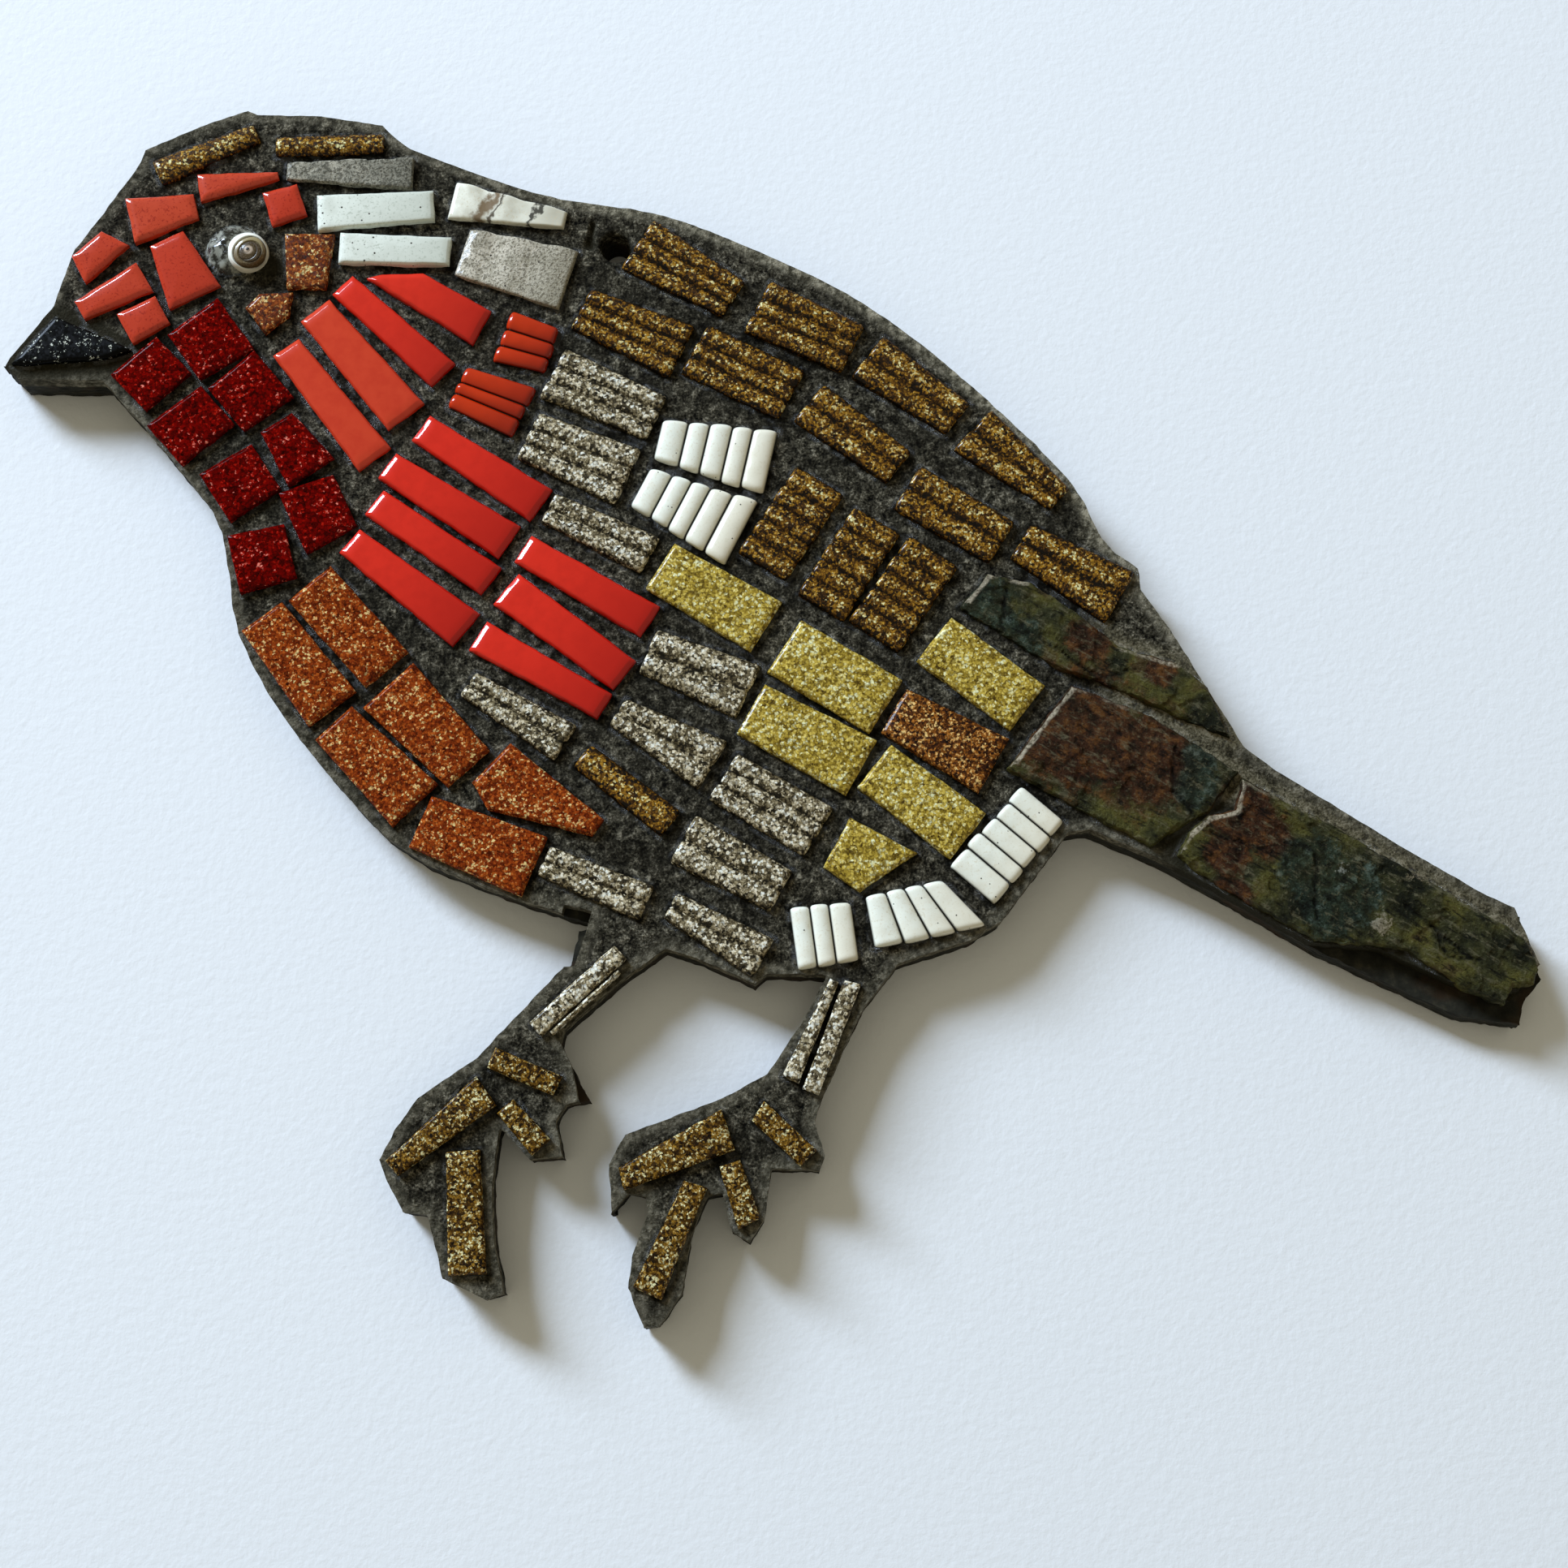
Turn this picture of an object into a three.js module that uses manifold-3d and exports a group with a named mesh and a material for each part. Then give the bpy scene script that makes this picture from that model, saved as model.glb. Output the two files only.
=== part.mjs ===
import * as THREE from "three";
import * as BufferGeometryUtils from "three/addons/utils/BufferGeometryUtils.js";
import Module from "manifold-3d";

const wasm = await Module();
wasm.setup();

// A wall panel in the shape of a small bird: a cut slate base, a bed of grout and mosaic tiles.
// Millimetres. The panel is laid out flat first: x to the right, y up, z out of the wall, with the
// middle of the hanging hole at x = 0, y = 0 and the back face at z = 0.

const LENGTH = 267;
const BASE_THICK = 5;
const FLOOR_THICK = 0.6;
const TILE_THICK = 3.3;
const CLEARANCE = 0.3;
const GROUT_DROP = 1.1;
const GROUT_SLOPE = 1.2;
const BACK_CHAMFER = 0.5;
const ARRIS = 0.5;
const RIB_PITCH = 3.8;
const WHITE_RIB_PITCH = 4.1;
const RIB_HEIGHT = 0.8;
const TIE_THICK = 0.5;
const TIE_WIDTH = 2.4;
const SPLIT_HEIGHT = 0.4;
const HOLE_DIAMETER = 4.5;
const HOLE_FLARE = 0.6;
const SHELL_DIAMETER = 8;
const SHELL_RISE = 3;
const MOUND_WIDTH = 2.5;
const MOUND_LIP = 0.8;
const MOUND_RISE = 0.4;
const HANG_TURN = -7;

const FLOOR_BOTTOM = BASE_THICK + CLEARANCE;
const FLOOR_TOP = FLOOR_BOTTOM + FLOOR_THICK;
const TILE_BOTTOM = FLOOR_TOP + CLEARANCE;
const TILE_FACE = TILE_BOTTOM + TILE_THICK;
const GROUT_TOP = TILE_FACE - GROUT_DROP;

// The outline of the base, drawn clockwise from the forehead.
const FOREHEAD = [
  [-98.5, 0.2], [-93.9, 6.3], [-88.6, 14.2], [-87.1, 17], [-86.4, 19.6], [-76.4, 24.4], [-67.8, 27.7],
  [-66, 26.8], [-54.3, 26.5], [-43, 24.6], [-40, 21.6],
];
const BACK = [
  [-37.7, 19.9], [-23, 13.9], [-10.7, 10], [8.5, 6.6], [26.2, -0.8], [43.7, -10.1], [60.9, -24],
  [80.2, -44], [86, -55.5], [92.2, -61],
];
const TAIL = [
  [92.5, -65], [97.5, -72.5], [109, -93], [114, -97], [134, -110], [147, -118], [155, -122], [155.5, -126],
  [158, -133], [154.5, -137], [153.5, -141], [143, -139.5], [120, -128.5], [105, -119.5], [93.5, -113],
  [82, -108], [78.5, -108.5], [66.8, -123.8], [61.5, -127], [49.5, -131],
];
const RIGHT_LEG_AND_FOOT = [
  [44, -138], [40.5, -145], [36.8, -153.5], [35.5, -157], [37.3, -162.5], [36.3, -165.3], [28.5, -165],
  [27.3, -173], [24.8, -177], [21.5, -175], [20, -169], [18, -169.5], [15.5, -175.5], [14, -185],
  [10.2, -190.3], [7.5, -190.5], [4.8, -184], [5.4, -178.5], [7.8, -172], [7.5, -169.5], [5, -169],
  [2, -172.5], [1.3, -164], [4, -159], [20, -153], [27.3, -149], [33, -140.5], [37, -133], [27.5, -132.7],
  [25.5, -134.5],
];
const LEFT_LEG_AND_FOOT = [
  [16.5, -130.5], [10.5, -128.5], [3, -134], [-6, -142], [-6.5, -144], [-1.5, -153.5], [-5.5, -154.5],
  [-7, -157], [-5.7, -163], [-11.5, -163.5], [-16.3, -158.5], [-17.2, -167], [-16.7, -176], [-14.7, -185],
  [-18, -186], [-25.2, -182.6], [-28, -172.5], [-32, -172], [-34.8, -167], [-36.3, -163.3], [-34, -158.5],
  [-30.3, -153], [-20.6, -146.2], [-6, -130.3], [-4.6, -124.5],
];
const BELLY_AND_THROAT = [
  [-2.5, -123.7], [-13.5, -120.3], [-33.5, -112], [-46, -100], [-57.3, -86], [-64.3, -73], [-66.3, -64],
  [-69, -52.5], [-76, -43.2], [-83, -34.8], [-91, -26],
];
const BEAK = [
  [-106, -26], [-109.5, -23.5], [-108.5, -21], [-104.5, -15.5], [-101.5, -11],
];

// Places at the rim where the slate is left bare.
const BARE = [
  [[-2.2, -122], [-6.5, -121], [-9, -131], [-5, -131]],
  [[-5.5, -143.5], [-3, -155], [2, -155], [2, -143.5]],
  [
    [117, -127.3], [120, -131], [143, -142], [156, -143], [162, -138], [162, -118], [152, -118],
    [156.8, -131], [151, -137.5], [141, -134], [130, -128.7],
  ],
];

// Straight-cut tiles: centre x, centre y, direction of the length in degrees, length, and the
// widths at the two ends. Other shapes are given by their corners.
const SILVER = [
  [-1.5, -29, -25, 20.5, 10.5, 9], [-6, -40.5, -24, 19.5, 9.5, 11.5], [-2, -54.5, -26, 20, 6, 7.5],
  [15.5, -80, -23, 19, 8.5, 10.5], [-15.5, -87.5, -32, 20, 5, 7.5], [10, -92, -30, 19, 5.5, 10],
  [28, -103.5, -31, 19, 9.5, 10], [21.5, -114, -29, 19, 9.5, 8], [19, -125.5, -30, 18, 5, 7.5],
  [-1.5, -117, -23, 19, 5.5, 6.5],
];
const BRONZE_LONG = [
  [12.5, -5, -32, 20.5, 11.5, 8], [3, -16.5, -25, 20, 8.5, 11], [23, -24.5, -27, 19.5, 10.5, 10.5],
  [34, -16, -26, 19, 11, 10], [53, -27.5, -37, 20, 10, 7.5], [42.5, -36.5, -38, 20, 9, 7.5],
  [71, -42, -41, 20, 10.5, 5.5], [60, -51.5, -32, 19.5, 9.5, 9], [80, -61.5, -31, 20, 7.5, 11],
  [3.5, -101, -38, 19.5, 5, 5.5],
];
const BRONZE_CROSS = [
  [31.5, -53, 57, 19, 10, 10], [41.5, -60.5, 58, 19, 9.5, 9.5], [51, -66, 55.5, 19, 10.5, 10],
];
const GOLD = [
  [18, -66.5, -31, 21.5, 9.5, 10.5], [39, -81, -32, 20.5, 11, 11], [34, -92, -29, 21.5, 10, 11],
  [64, -80.5, -38, 20, 10, 10], [53.5, -103, -38, 20, 9.5, 10],
  [[36.9, -114.5], [43, -118.6], [52.7, -112.1], [41.4, -105.9]],
];
const DARK_COPPER = [57.5, -92, -30, 19.5, 9, 11];
const WHITE_RIBBED = [
  [18, -39.5, -12, 20.5, 7.5, 12.5], [14, -50.5, -26, 20, 8, 13], [37, -126, 7.5, 10.5, 11, 10],
  [[45.3, -128.5], [64.3, -124.4], [57, -116.7], [43.8, -119.6]], [68, -110.5, 48.6, 19, 10, 9.5],
];
const CHEST_UPPER = [
  [[-25.2, -19.3], [-22, -12.9], [-34.5, -5.6], [-41.8, -5.8], [-44.5, -6.6]],
  [-39.5, -16.5, -43, 25.5, 5, 6], [-45, -23, -50, 26.5, 6.5, 8], [-50, -30.5, -52, 27, 5.5, 7],
];
const CHEST_MIDDLE = [
  [-23, -42.5, -34, 26, 5.5, 7], [-28.5, -49.5, -33, 26, 5.5, 7], [-31, -56.5, -35, 25.5, 5.5, 6],
  [-35, -64.5, -38, 26.5, 5.5, 7.5],
];
const CHEST_LOWER = [
  [-4, -64.5, -31, 26, 5.5, 6.5], [-7.5, -73, -37, 26, 7, 6.5], [-11.5, -80, -30, 25.5, 6, 5],
];
const SHOULDER = [
  [-15.5, -19, -18, 9.5, 10.5, 9], [-21.7, -29.8, -22.5, 13, 8.5, 10.5],
];
const THROAT = [
  [-82, -25, 44, 10.5, 9.5, 9.5], [-72, -18.5, 36, 11, 10.5, 12], [-64.3, -28.4, 40, 10.6, 10.5, 11.5],
  [-74.3, -34.8, 41, 11.8, 10, 9.5], [-65, -45.5, 34, 10.5, 10.5, 10], [-56, -39, -55, 11.5, 6.5, 9.5],
  [-51, -51, 26, 10, 12.5, 10.5], [-60.5, -59.5, 15, 10, 11, 10],
];
const COPPER_BELLY = [
  [-45, -72, -48, 21, 9.5, 9.5], [-53.5, -78.5, -52, 21, 8.5, 10], [-39.5, -96.5, -45, 20.5, 8.5, 10.5],
  [-30.5, -90, -46, 20.5, 11.5, 9.5],
  [[-22.7, -99.8], [-19.9, -104.5], [-2.2, -109.1], [-0.2, -106.3], [-16.4, -92.9]],
  [-21.5, -110.5, -22, 21, 9.5, 11],
];
const CROWN = [
  [-74.7, 18.4, 25, 19.5, 5.5, 4], [-52.5, 20, 2, 19.5, 4, 4],
];
const GREY_NAPE = [-48.5, 14.5, -1, 23, 3.5, 6.5];
const PALE_NAPE = [
  [-43.5, 7, 4, 21, 7, 6], [-39.7, -1, -2, 20, 6, 5.5], [-19.5, 7, -11, 21, 7.5, 3.5], [-18, -4, -16, 20, 9.5, 12],
];
const RED_HEAD = [
  [-60, 8, 18.5, 6.5, 7, 6.5], [-68.5, 12.5, 10, 14.5, 5.5, 1.5], [-81.8, 6.1, 14.5, 12, 9, 5],
  [-93.2, -1.8, -45.5, 5.6, 7, 10.5], [-90, -9.5, 30.5, 13, 4, 6.5], [-84, -14.5, 30, 7.5, 6.5, 6],
  [-78, -4.5, -63, 12.8, 6.5, 10],
];
const BROWN_CHEEK = [
  [-55.2, -3.2, -90.6, 10.7, 9, 7],
  [[-65.9, -12.3], [-62.2, -17.4], [-58.2, -13.8], [-57.6, -9.3], [-63.6, -9.6]],
];
const BEAK_TILE = [[-107, -23], [-104.6, -23.3], [-89.7, -22], [-85.8, -20.4], [-99.8, -14], [-103.2, -18.2]];
const LEFT_LEG_TILES = [
  [-4, -135.5, 43, 19, 3, 3], [-12.5, -149, -23, 12, 3.5, 3.5],
  [[-32.7, -166], [-17, -154.5], [-20.4, -149.8], [-34.8, -163.6]],
  [-12.5, -158, -48, 9, 3.5, 4], [[-25, -162.2], [-24, -182], [-17.8, -181.7], [-19.5, -161.8]],
];
const RIGHT_LEG_TILES = [
  [35, -142, 66, 18, 3, 1.5], [[33.3, -151.8], [36, -152.8], [43, -134.5], [40.3, -133.7]],
  [[25, -157], [32.9, -164.4], [35.6, -161.8], [27, -153.8]],
  [[4.2, -168.3], [22.2, -161.8], [20, -155.2], [3.2, -164.7]],
  [[19.7, -164.5], [22.8, -174.6], [26.4, -172.9], [23.1, -163.4]],
  [[5.9, -183.8], [10.5, -185.8], [17.7, -168], [14, -166.8]],
];
const TAIL_SLATES = [
  [
    [65.5, -62.5], [60.5, -68.5], [78, -80], [84.5, -82], [97, -88], [106.5, -92], [102.5, -82.5],
    [98.5, -79], [88, -75.5], [81, -69.5], [73, -64],
  ],
  [[79.5, -82.5], [68, -97.5], [75, -101.5], [92, -111], [96, -108.5], [102, -105], [107.5, -98], [93, -88]],
  [
    [108, -99], [106.5, -104.5], [102, -105.5], [98.5, -108.5], [96.5, -112.5], [103, -117.5], [119, -127], [130, -128], [134.5, -129], [142.5, -134.5], [150, -138],
    [151.5, -135], [155, -134.5], [156, -132], [154, -126.5], [140.5, -118], [123.5, -107.5],
  ],
];
const EYE = [-65.3, -2.5];

const outlineRaw = [
  ...FOREHEAD.map(toPoint),
  ...curve(BACK, 27),
  ...TAIL.map(toPoint),
  ...RIGHT_LEG_AND_FOOT.map(toPoint),
  ...LEFT_LEG_AND_FOOT.map(toPoint),
  ...curve(BELLY_AND_THROAT, 22),
  ...BEAK.map(toPoint),
].reverse();
const across = outlineRaw.map((point) => point.x);
const scale = LENGTH / (Math.max(...across) - Math.min(...across));
const outline = outlineRaw.map((point) => point.clone().multiplyScalar(scale));

function toPoint([x, y]) {
  return new THREE.Vector2(x, y);
}

function curve(knots, count) {
  return new THREE.SplineCurve(knots.map(toPoint)).getPoints(count);
}

function place([x, y]) {
  return new THREE.Vector2(x, y).multiplyScalar(scale);
}

function circle(centre, radius, count) {
  return Array.from({ length: count }, (_, i) => {
    const angle = (2 * Math.PI * i) / count;
    return new THREE.Vector2(centre.x + radius * Math.cos(angle), centre.y + radius * Math.sin(angle));
  });
}

// Corners of a tile, counter-clockwise from the lower end of its start edge.
function tileCorners(row) {
  if (Array.isArray(row[0])) {
    return row.map(place);
  }
  const [x, y, turn, length, startWidth, endWidth] = row;
  const centre = new THREE.Vector2(x, y);
  const angle = THREE.MathUtils.degToRad(turn);
  const corners = [
    [-length / 2, -startWidth / 2], [length / 2, -endWidth / 2], [length / 2, endWidth / 2], [-length / 2, startWidth / 2],
  ];
  return corners.map((corner) => {
    const turned = toPoint(corner).rotateAround(new THREE.Vector2(), angle);
    return turned.add(centre).multiplyScalar(scale);
  });
}

// Every side of a counter-clockwise outline moved outward by a distance, or inward if negative.
function offset(points, distance) {
  return points.map((point, i) => {
    const before = points[(i + points.length - 1) % points.length];
    const after = points[(i + 1) % points.length];
    const into = point.clone().sub(before).normalize();
    const away = after.clone().sub(point).normalize();
    const normal = new THREE.Vector2(into.y + away.y, -into.x - away.x).normalize();
    const cosine = Math.max(normal.x * away.y - normal.y * away.x, 0.35);
    return point.clone().addScaledVector(normal, distance / cosine);
  });
}

function atHeight(points, z) {
  return points.map((point) => new THREE.Vector3(point.x, point.y, z));
}

// Triangles that fill a ring, running the same way round as the ring does.
function endTriangles(ring) {
  const triangles = THREE.ShapeUtils.triangulateShape(ring, []);
  const covered = triangles.reduce((sum, corners) => sum + THREE.ShapeUtils.area(corners.map((i) => ring[i])), 0);
  const sameWay = covered * THREE.ShapeUtils.area(ring) > 0;
  return triangles.map(([a, b, c]) => (sameWay ? [a, b, c] : [a, c, b]));
}

// A closed skin through rings of points, with the first and last ring closed by flat or near-flat
// ends. flatten gives the plane position of a ring's point for cutting an end into triangles.
function loft(rings, flatten = (point) => new THREE.Vector2(point.x, point.y)) {
  const count = rings[0].length;
  const positions = rings.flat().flatMap((point) => [point.x, point.y, point.z]);
  const index = [];
  for (let ring = 0; ring + 1 < rings.length; ring += 1) {
    for (let i = 0; i < count; i += 1) {
      const a = ring * count + i;
      const b = ring * count + ((i + 1) % count);
      index.push(a, b, b + count, a, b + count, a + count);
    }
  }
  const last = (rings.length - 1) * count;
  endTriangles(rings[0].map(flatten)).forEach(([a, b, c]) => {
    index.push(c, b, a);
  });
  endTriangles(rings[rings.length - 1].map(flatten)).forEach(([a, b, c]) => {
    index.push(last + a, last + b, last + c);
  });
  const geometry = new THREE.BufferGeometry();
  geometry.setAttribute("position", new THREE.Float32BufferAttribute(positions, 3));
  geometry.setIndex(index);
  return geometry;
}

function prism(points, bottom, top) {
  return loft([atHeight(points, bottom), atHeight(points, top)]);
}

function flatTile(corners) {
  return loft([
    atHeight(corners, TILE_BOTTOM),
    atHeight(corners, TILE_FACE - ARRIS),
    atHeight(offset(corners, -ARRIS), TILE_FACE),
  ]);
}

// A tile with rounded ribs that run from its start edge to its end edge.
function ribbedTile(corners, pitch = RIB_PITCH) {
  const [startLow, endLow, endHigh, startHigh] = corners;
  const width = (startLow.distanceTo(startHigh) + endLow.distanceTo(endHigh)) / 2;
  const ribs = Math.max(1, Math.round(width / pitch));
  const profile = [[0, 1]];
  for (let rib = 0; rib < ribs; rib += 1) {
    profile.push([(rib + 0.2) / ribs, 0.3], [(rib + 0.5) / ribs, 0], [(rib + 0.8) / ribs, 0.3], [(rib + 1) / ribs, 1]);
  }
  const ring = (low, high) => {
    const top = profile.map(([t, depth]) => {
      const point = low.clone().lerp(high, t);
      return new THREE.Vector3(point.x, point.y, TILE_FACE - RIB_HEIGHT * depth);
    });
    return [new THREE.Vector3(high.x, high.y, TILE_BOTTOM), new THREE.Vector3(low.x, low.y, TILE_BOTTOM), ...top];
  };
  const sideways = startHigh.clone().sub(startLow).normalize();
  const flatten = (point) => new THREE.Vector2(point.x * sideways.x + point.y * sideways.y, point.z);
  return loft([ring(endLow, endHigh), ring(startLow, startHigh)], flatten);
}

function ribbedAcross(corners, pitch = RIB_PITCH) {
  return ribbedTile([corners[1], corners[2], corners[3], corners[0]], pitch);
}

function whiteRibbed(corners) {
  return ribbedAcross(corners, WHITE_RIB_PITCH);
}

// A split slate with an uneven face.
function splitSlate(corners) {
  const face = offset(corners, -ARRIS).map((point) => {
    const wave = Math.sin(point.x / 7) * Math.cos(point.y / 9);
    return new THREE.Vector3(point.x, point.y, TILE_FACE + SPLIT_HEIGHT * wave);
  });
  return loft([atHeight(corners, TILE_BOTTOM), atHeight(corners, TILE_FACE - ARRIS - SPLIT_HEIGHT), face]);
}

// A small domed shell with a groove that winds up to its tip.
function shell() {
  const centre = place(EYE);
  const rise = TILE_FACE + SHELL_RISE - TILE_BOTTOM;
  const steps = [0, 0.2, 0.35, 0.5, 0.65, 0.8, 0.92];
  const rings = steps.map((step) => {
    const angle = (step * Math.PI) / 2;
    return circle(centre, SHELL_DIAMETER / 2, 20).map((point, i) => {
      const groove = 1 + 0.07 * Math.cos((2 * Math.PI * i) / 20 - 4 * Math.PI * step) - 0.07;
      const flat = point.sub(centre).multiplyScalar(Math.cos(angle) * groove).add(centre);
      return new THREE.Vector3(flat.x, flat.y, TILE_BOTTOM + rise * Math.sin(angle));
    });
  });
  return loft(rings);
}

function solid(geometry) {
  const bare = geometry.clone();
  bare.deleteAttribute("normal");
  bare.deleteAttribute("uv");
  const merged = BufferGeometryUtils.mergeVertices(bare, 1e-4);
  const mesh = new wasm.Mesh({
    numProp: 3,
    vertProperties: new Float32Array(merged.getAttribute("position").array),
    triVerts: new Uint32Array(merged.getIndex().array),
  });
  return new wasm.Manifold(mesh);
}

function toGeometry(body) {
  const mesh = body.getMesh();
  const geometry = new THREE.BufferGeometry();
  geometry.setAttribute("position", new THREE.BufferAttribute(mesh.vertProperties, 3));
  geometry.setIndex(new THREE.BufferAttribute(mesh.triVerts, 1));
  geometry.computeVertexNormals();
  return geometry;
}

const layout = new THREE.Group();
const pockets = [];

function addMesh(name, geometry, colour, roughness) {
  const material = new THREE.MeshStandardMaterial({ name, color: colour, roughness, metalness: 0 });
  const mesh = new THREE.Mesh(geometry, material);
  mesh.name = name;
  layout.add(mesh);
}

function addPocket(points, top) {
  pockets.push(solid(prism(offset(points, CLEARANCE), FLOOR_TOP, top)));
}

function addTile(name, row, shape, colour, roughness) {
  const corners = tileCorners(row);
  addMesh(name, toGeometry(solid(shape(corners))), colour, roughness);
  addPocket(corners, TILE_FACE + TILE_THICK);
}

function addTiles(name, rows, shape, colour, roughness) {
  rows.forEach((row, i) => addTile(`${name}_${i + 1}`, row, shape, colour, roughness));
}

// The places on a tile where a tie may start: its middle and, on long tiles, near its two ends.
function tiePoints(corners) {
  const middle = corners.reduce((sum, corner) => sum.add(corner), new THREE.Vector2()).divideScalar(corners.length);
  if (corners.length !== 4) {
    return [middle];
  }
  const start = corners[0].clone().add(corners[3]).divideScalar(2);
  const end = corners[1].clone().add(corners[2]).divideScalar(2);
  return [middle, middle.clone().lerp(start, 0.8), middle.clone().lerp(end, 0.8)];
}

// Tiles of one course as one body: each is tied to its nearest earlier neighbour by a flat strip of
// adhesive under the grout.
function addCourse(name, rows, shape, colour, roughness) {
  const tiles = rows.map(tileCorners);
  const bodies = tiles.map((corners) => solid(shape(corners)));
  tiles.forEach((corners, i) => {
    addPocket(corners, TILE_FACE + TILE_THICK);
    if (i === 0) {
      return;
    }
    let best = null;
    tiles.slice(0, i).forEach((earlier) => {
      tiePoints(earlier).forEach((from) => {
        tiePoints(corners).forEach((to) => {
          if (best === null || from.distanceTo(to) < best.from.distanceTo(best.to)) {
            best = { from, to };
          }
        });
      });
    });
    const along = best.to.clone().sub(best.from).normalize();
    const side = new THREE.Vector2(-along.y, along.x).multiplyScalar(TIE_WIDTH / 2);
    const strip = [
      best.from.clone().sub(side), best.to.clone().sub(side), best.to.clone().add(side), best.from.clone().add(side),
    ];
    bodies.push(solid(prism(strip, TILE_BOTTOM, TILE_BOTTOM + TIE_THICK)));
    addPocket(strip, TILE_BOTTOM + TIE_THICK + CLEARANCE);
  });
  addMesh(name, toGeometry(wasm.Manifold.union(bodies)), colour, roughness);
}

addTiles("silver_tile", SILVER, ribbedTile, "#6d665a", 0.45);
addTiles("bronze_tile", BRONZE_LONG, ribbedTile, "#5f3d14", 0.4);
BRONZE_CROSS.forEach((row, i) => {
  addTile(`bronze_tile_${BRONZE_LONG.length + i + 1}`, row, ribbedAcross, "#5f3d14", 0.4);
});
addTiles("gold_tile", GOLD, flatTile, "#a08c3c", 0.4);
addTile("dark_copper_tile", DARK_COPPER, flatTile, "#3d1e12", 0.4);
addTiles("white_tile", WHITE_RIBBED, whiteRibbed, "#e6e9dd", 0.3);
addCourse("chest_strips_upper", CHEST_UPPER, flatTile, "#c8321e", 0.2);
addCourse("chest_strips_middle", CHEST_MIDDLE, flatTile, "#c8321e", 0.2);
addCourse("chest_strips_lower", CHEST_LOWER, flatTile, "#c8321e", 0.2);
addCourse("shoulder_tiles", SHOULDER, ribbedTile, "#c8401e", 0.2);
addCourse("throat_tiles", THROAT, flatTile, "#6e0c0a", 0.35);
addCourse("belly_tiles", COPPER_BELLY, flatTile, "#9a3c1a", 0.4);
addTile("crown_tile_1", CROWN[0], ribbedTile, "#5f3d14", 0.4);
addTile("crown_tile_2", CROWN[1], ribbedTile, "#5f3d14", 0.4);
addTile("nape_tile_grey", GREY_NAPE, flatTile, "#8a8a84", 0.7);
addTiles("nape_tile", PALE_NAPE, flatTile, "#d8d9d0", 0.3);
addCourse("red_head_tiles", RED_HEAD, flatTile, "#c8401e", 0.2);
addCourse("cheek_tiles", BROWN_CHEEK, flatTile, "#4a2a14", 0.4);
addTile("beak_tile", BEAK_TILE, flatTile, "#16140f", 0.3);
addCourse("left_foot_tiles", LEFT_LEG_TILES, flatTile, "#5f3d14", 0.4);
addCourse("right_foot_tiles", RIGHT_LEG_TILES, flatTile, "#5f3d14", 0.4);
addTiles("tail_slate", TAIL_SLATES, splitSlate, "#3e3f36", 0.8);

addMesh("snail_shell_eye", toGeometry(solid(shell())), "#b9a483", 0.35);
addPocket(circle(place(EYE), SHELL_DIAMETER / 2, 20), TILE_FACE + SHELL_RISE);

const origin = new THREE.Vector2();
const base = solid(loft([
  atHeight(offset(outline, -BACK_CHAMFER), 0),
  atHeight(outline, BACK_CHAMFER),
  atHeight(outline, BASE_THICK),
]));
const hole = solid(prism(circle(origin, HOLE_DIAMETER / 2, 24), -BASE_THICK, 2 * BASE_THICK));
addMesh("slate_base", toGeometry(base.subtract(hole)), "#3f4039", 0.85);

const bed = solid(loft([
  atHeight(outline, FLOOR_BOTTOM),
  atHeight(outline, FLOOR_TOP),
  atHeight(offset(outline, -GROUT_SLOPE), GROUT_TOP),
]));
const mound = solid(loft([
  atHeight(circle(place(EYE), SHELL_DIAMETER / 2 + MOUND_WIDTH, 20), FLOOR_TOP),
  atHeight(circle(place(EYE), SHELL_DIAMETER / 2 + MOUND_WIDTH, 20), GROUT_TOP),
  atHeight(circle(place(EYE), SHELL_DIAMETER / 2 + MOUND_LIP, 20), TILE_FACE + MOUND_RISE),
]));
const mouth = solid(loft([
  atHeight(circle(origin, HOLE_DIAMETER / 2, 24), 0),
  atHeight(circle(origin, HOLE_DIAMETER / 2, 24), FLOOR_TOP),
  atHeight(circle(origin, HOLE_DIAMETER / 2 + HOLE_FLARE, 24), TILE_FACE),
]));
const bareSlate = BARE.map((corners) => {
  const points = corners.map(place);
  const ordered = THREE.ShapeUtils.isClockWise(points) ? points.reverse() : points;
  return solid(prism(ordered, 0, TILE_FACE + TILE_THICK));
});
const grout = bed.add(mound).subtract(wasm.Manifold.union([mouth, ...pockets, ...bareSlate]));
addMesh("grout", toGeometry(grout), "#55565a", 0.95);

// Stand the panel up: its face looks along -Y, its back lies in the plane Y = 0, and it hangs
// turned about the hole so that its middle is straight below.
const standing = new THREE.Group();
standing.rotation.x = Math.PI / 2;
layout.rotation.z = THREE.MathUtils.degToRad(HANG_TURN);
standing.add(layout);

const panel = new THREE.Group();
panel.name = "mosaic_panel";
panel.add(standing);

export default panel;
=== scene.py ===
import math

import bpy
import numpy as np
from mathutils import Matrix, Vector, noise
from mathutils.geometry import delaunay_2d_cdt


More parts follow.
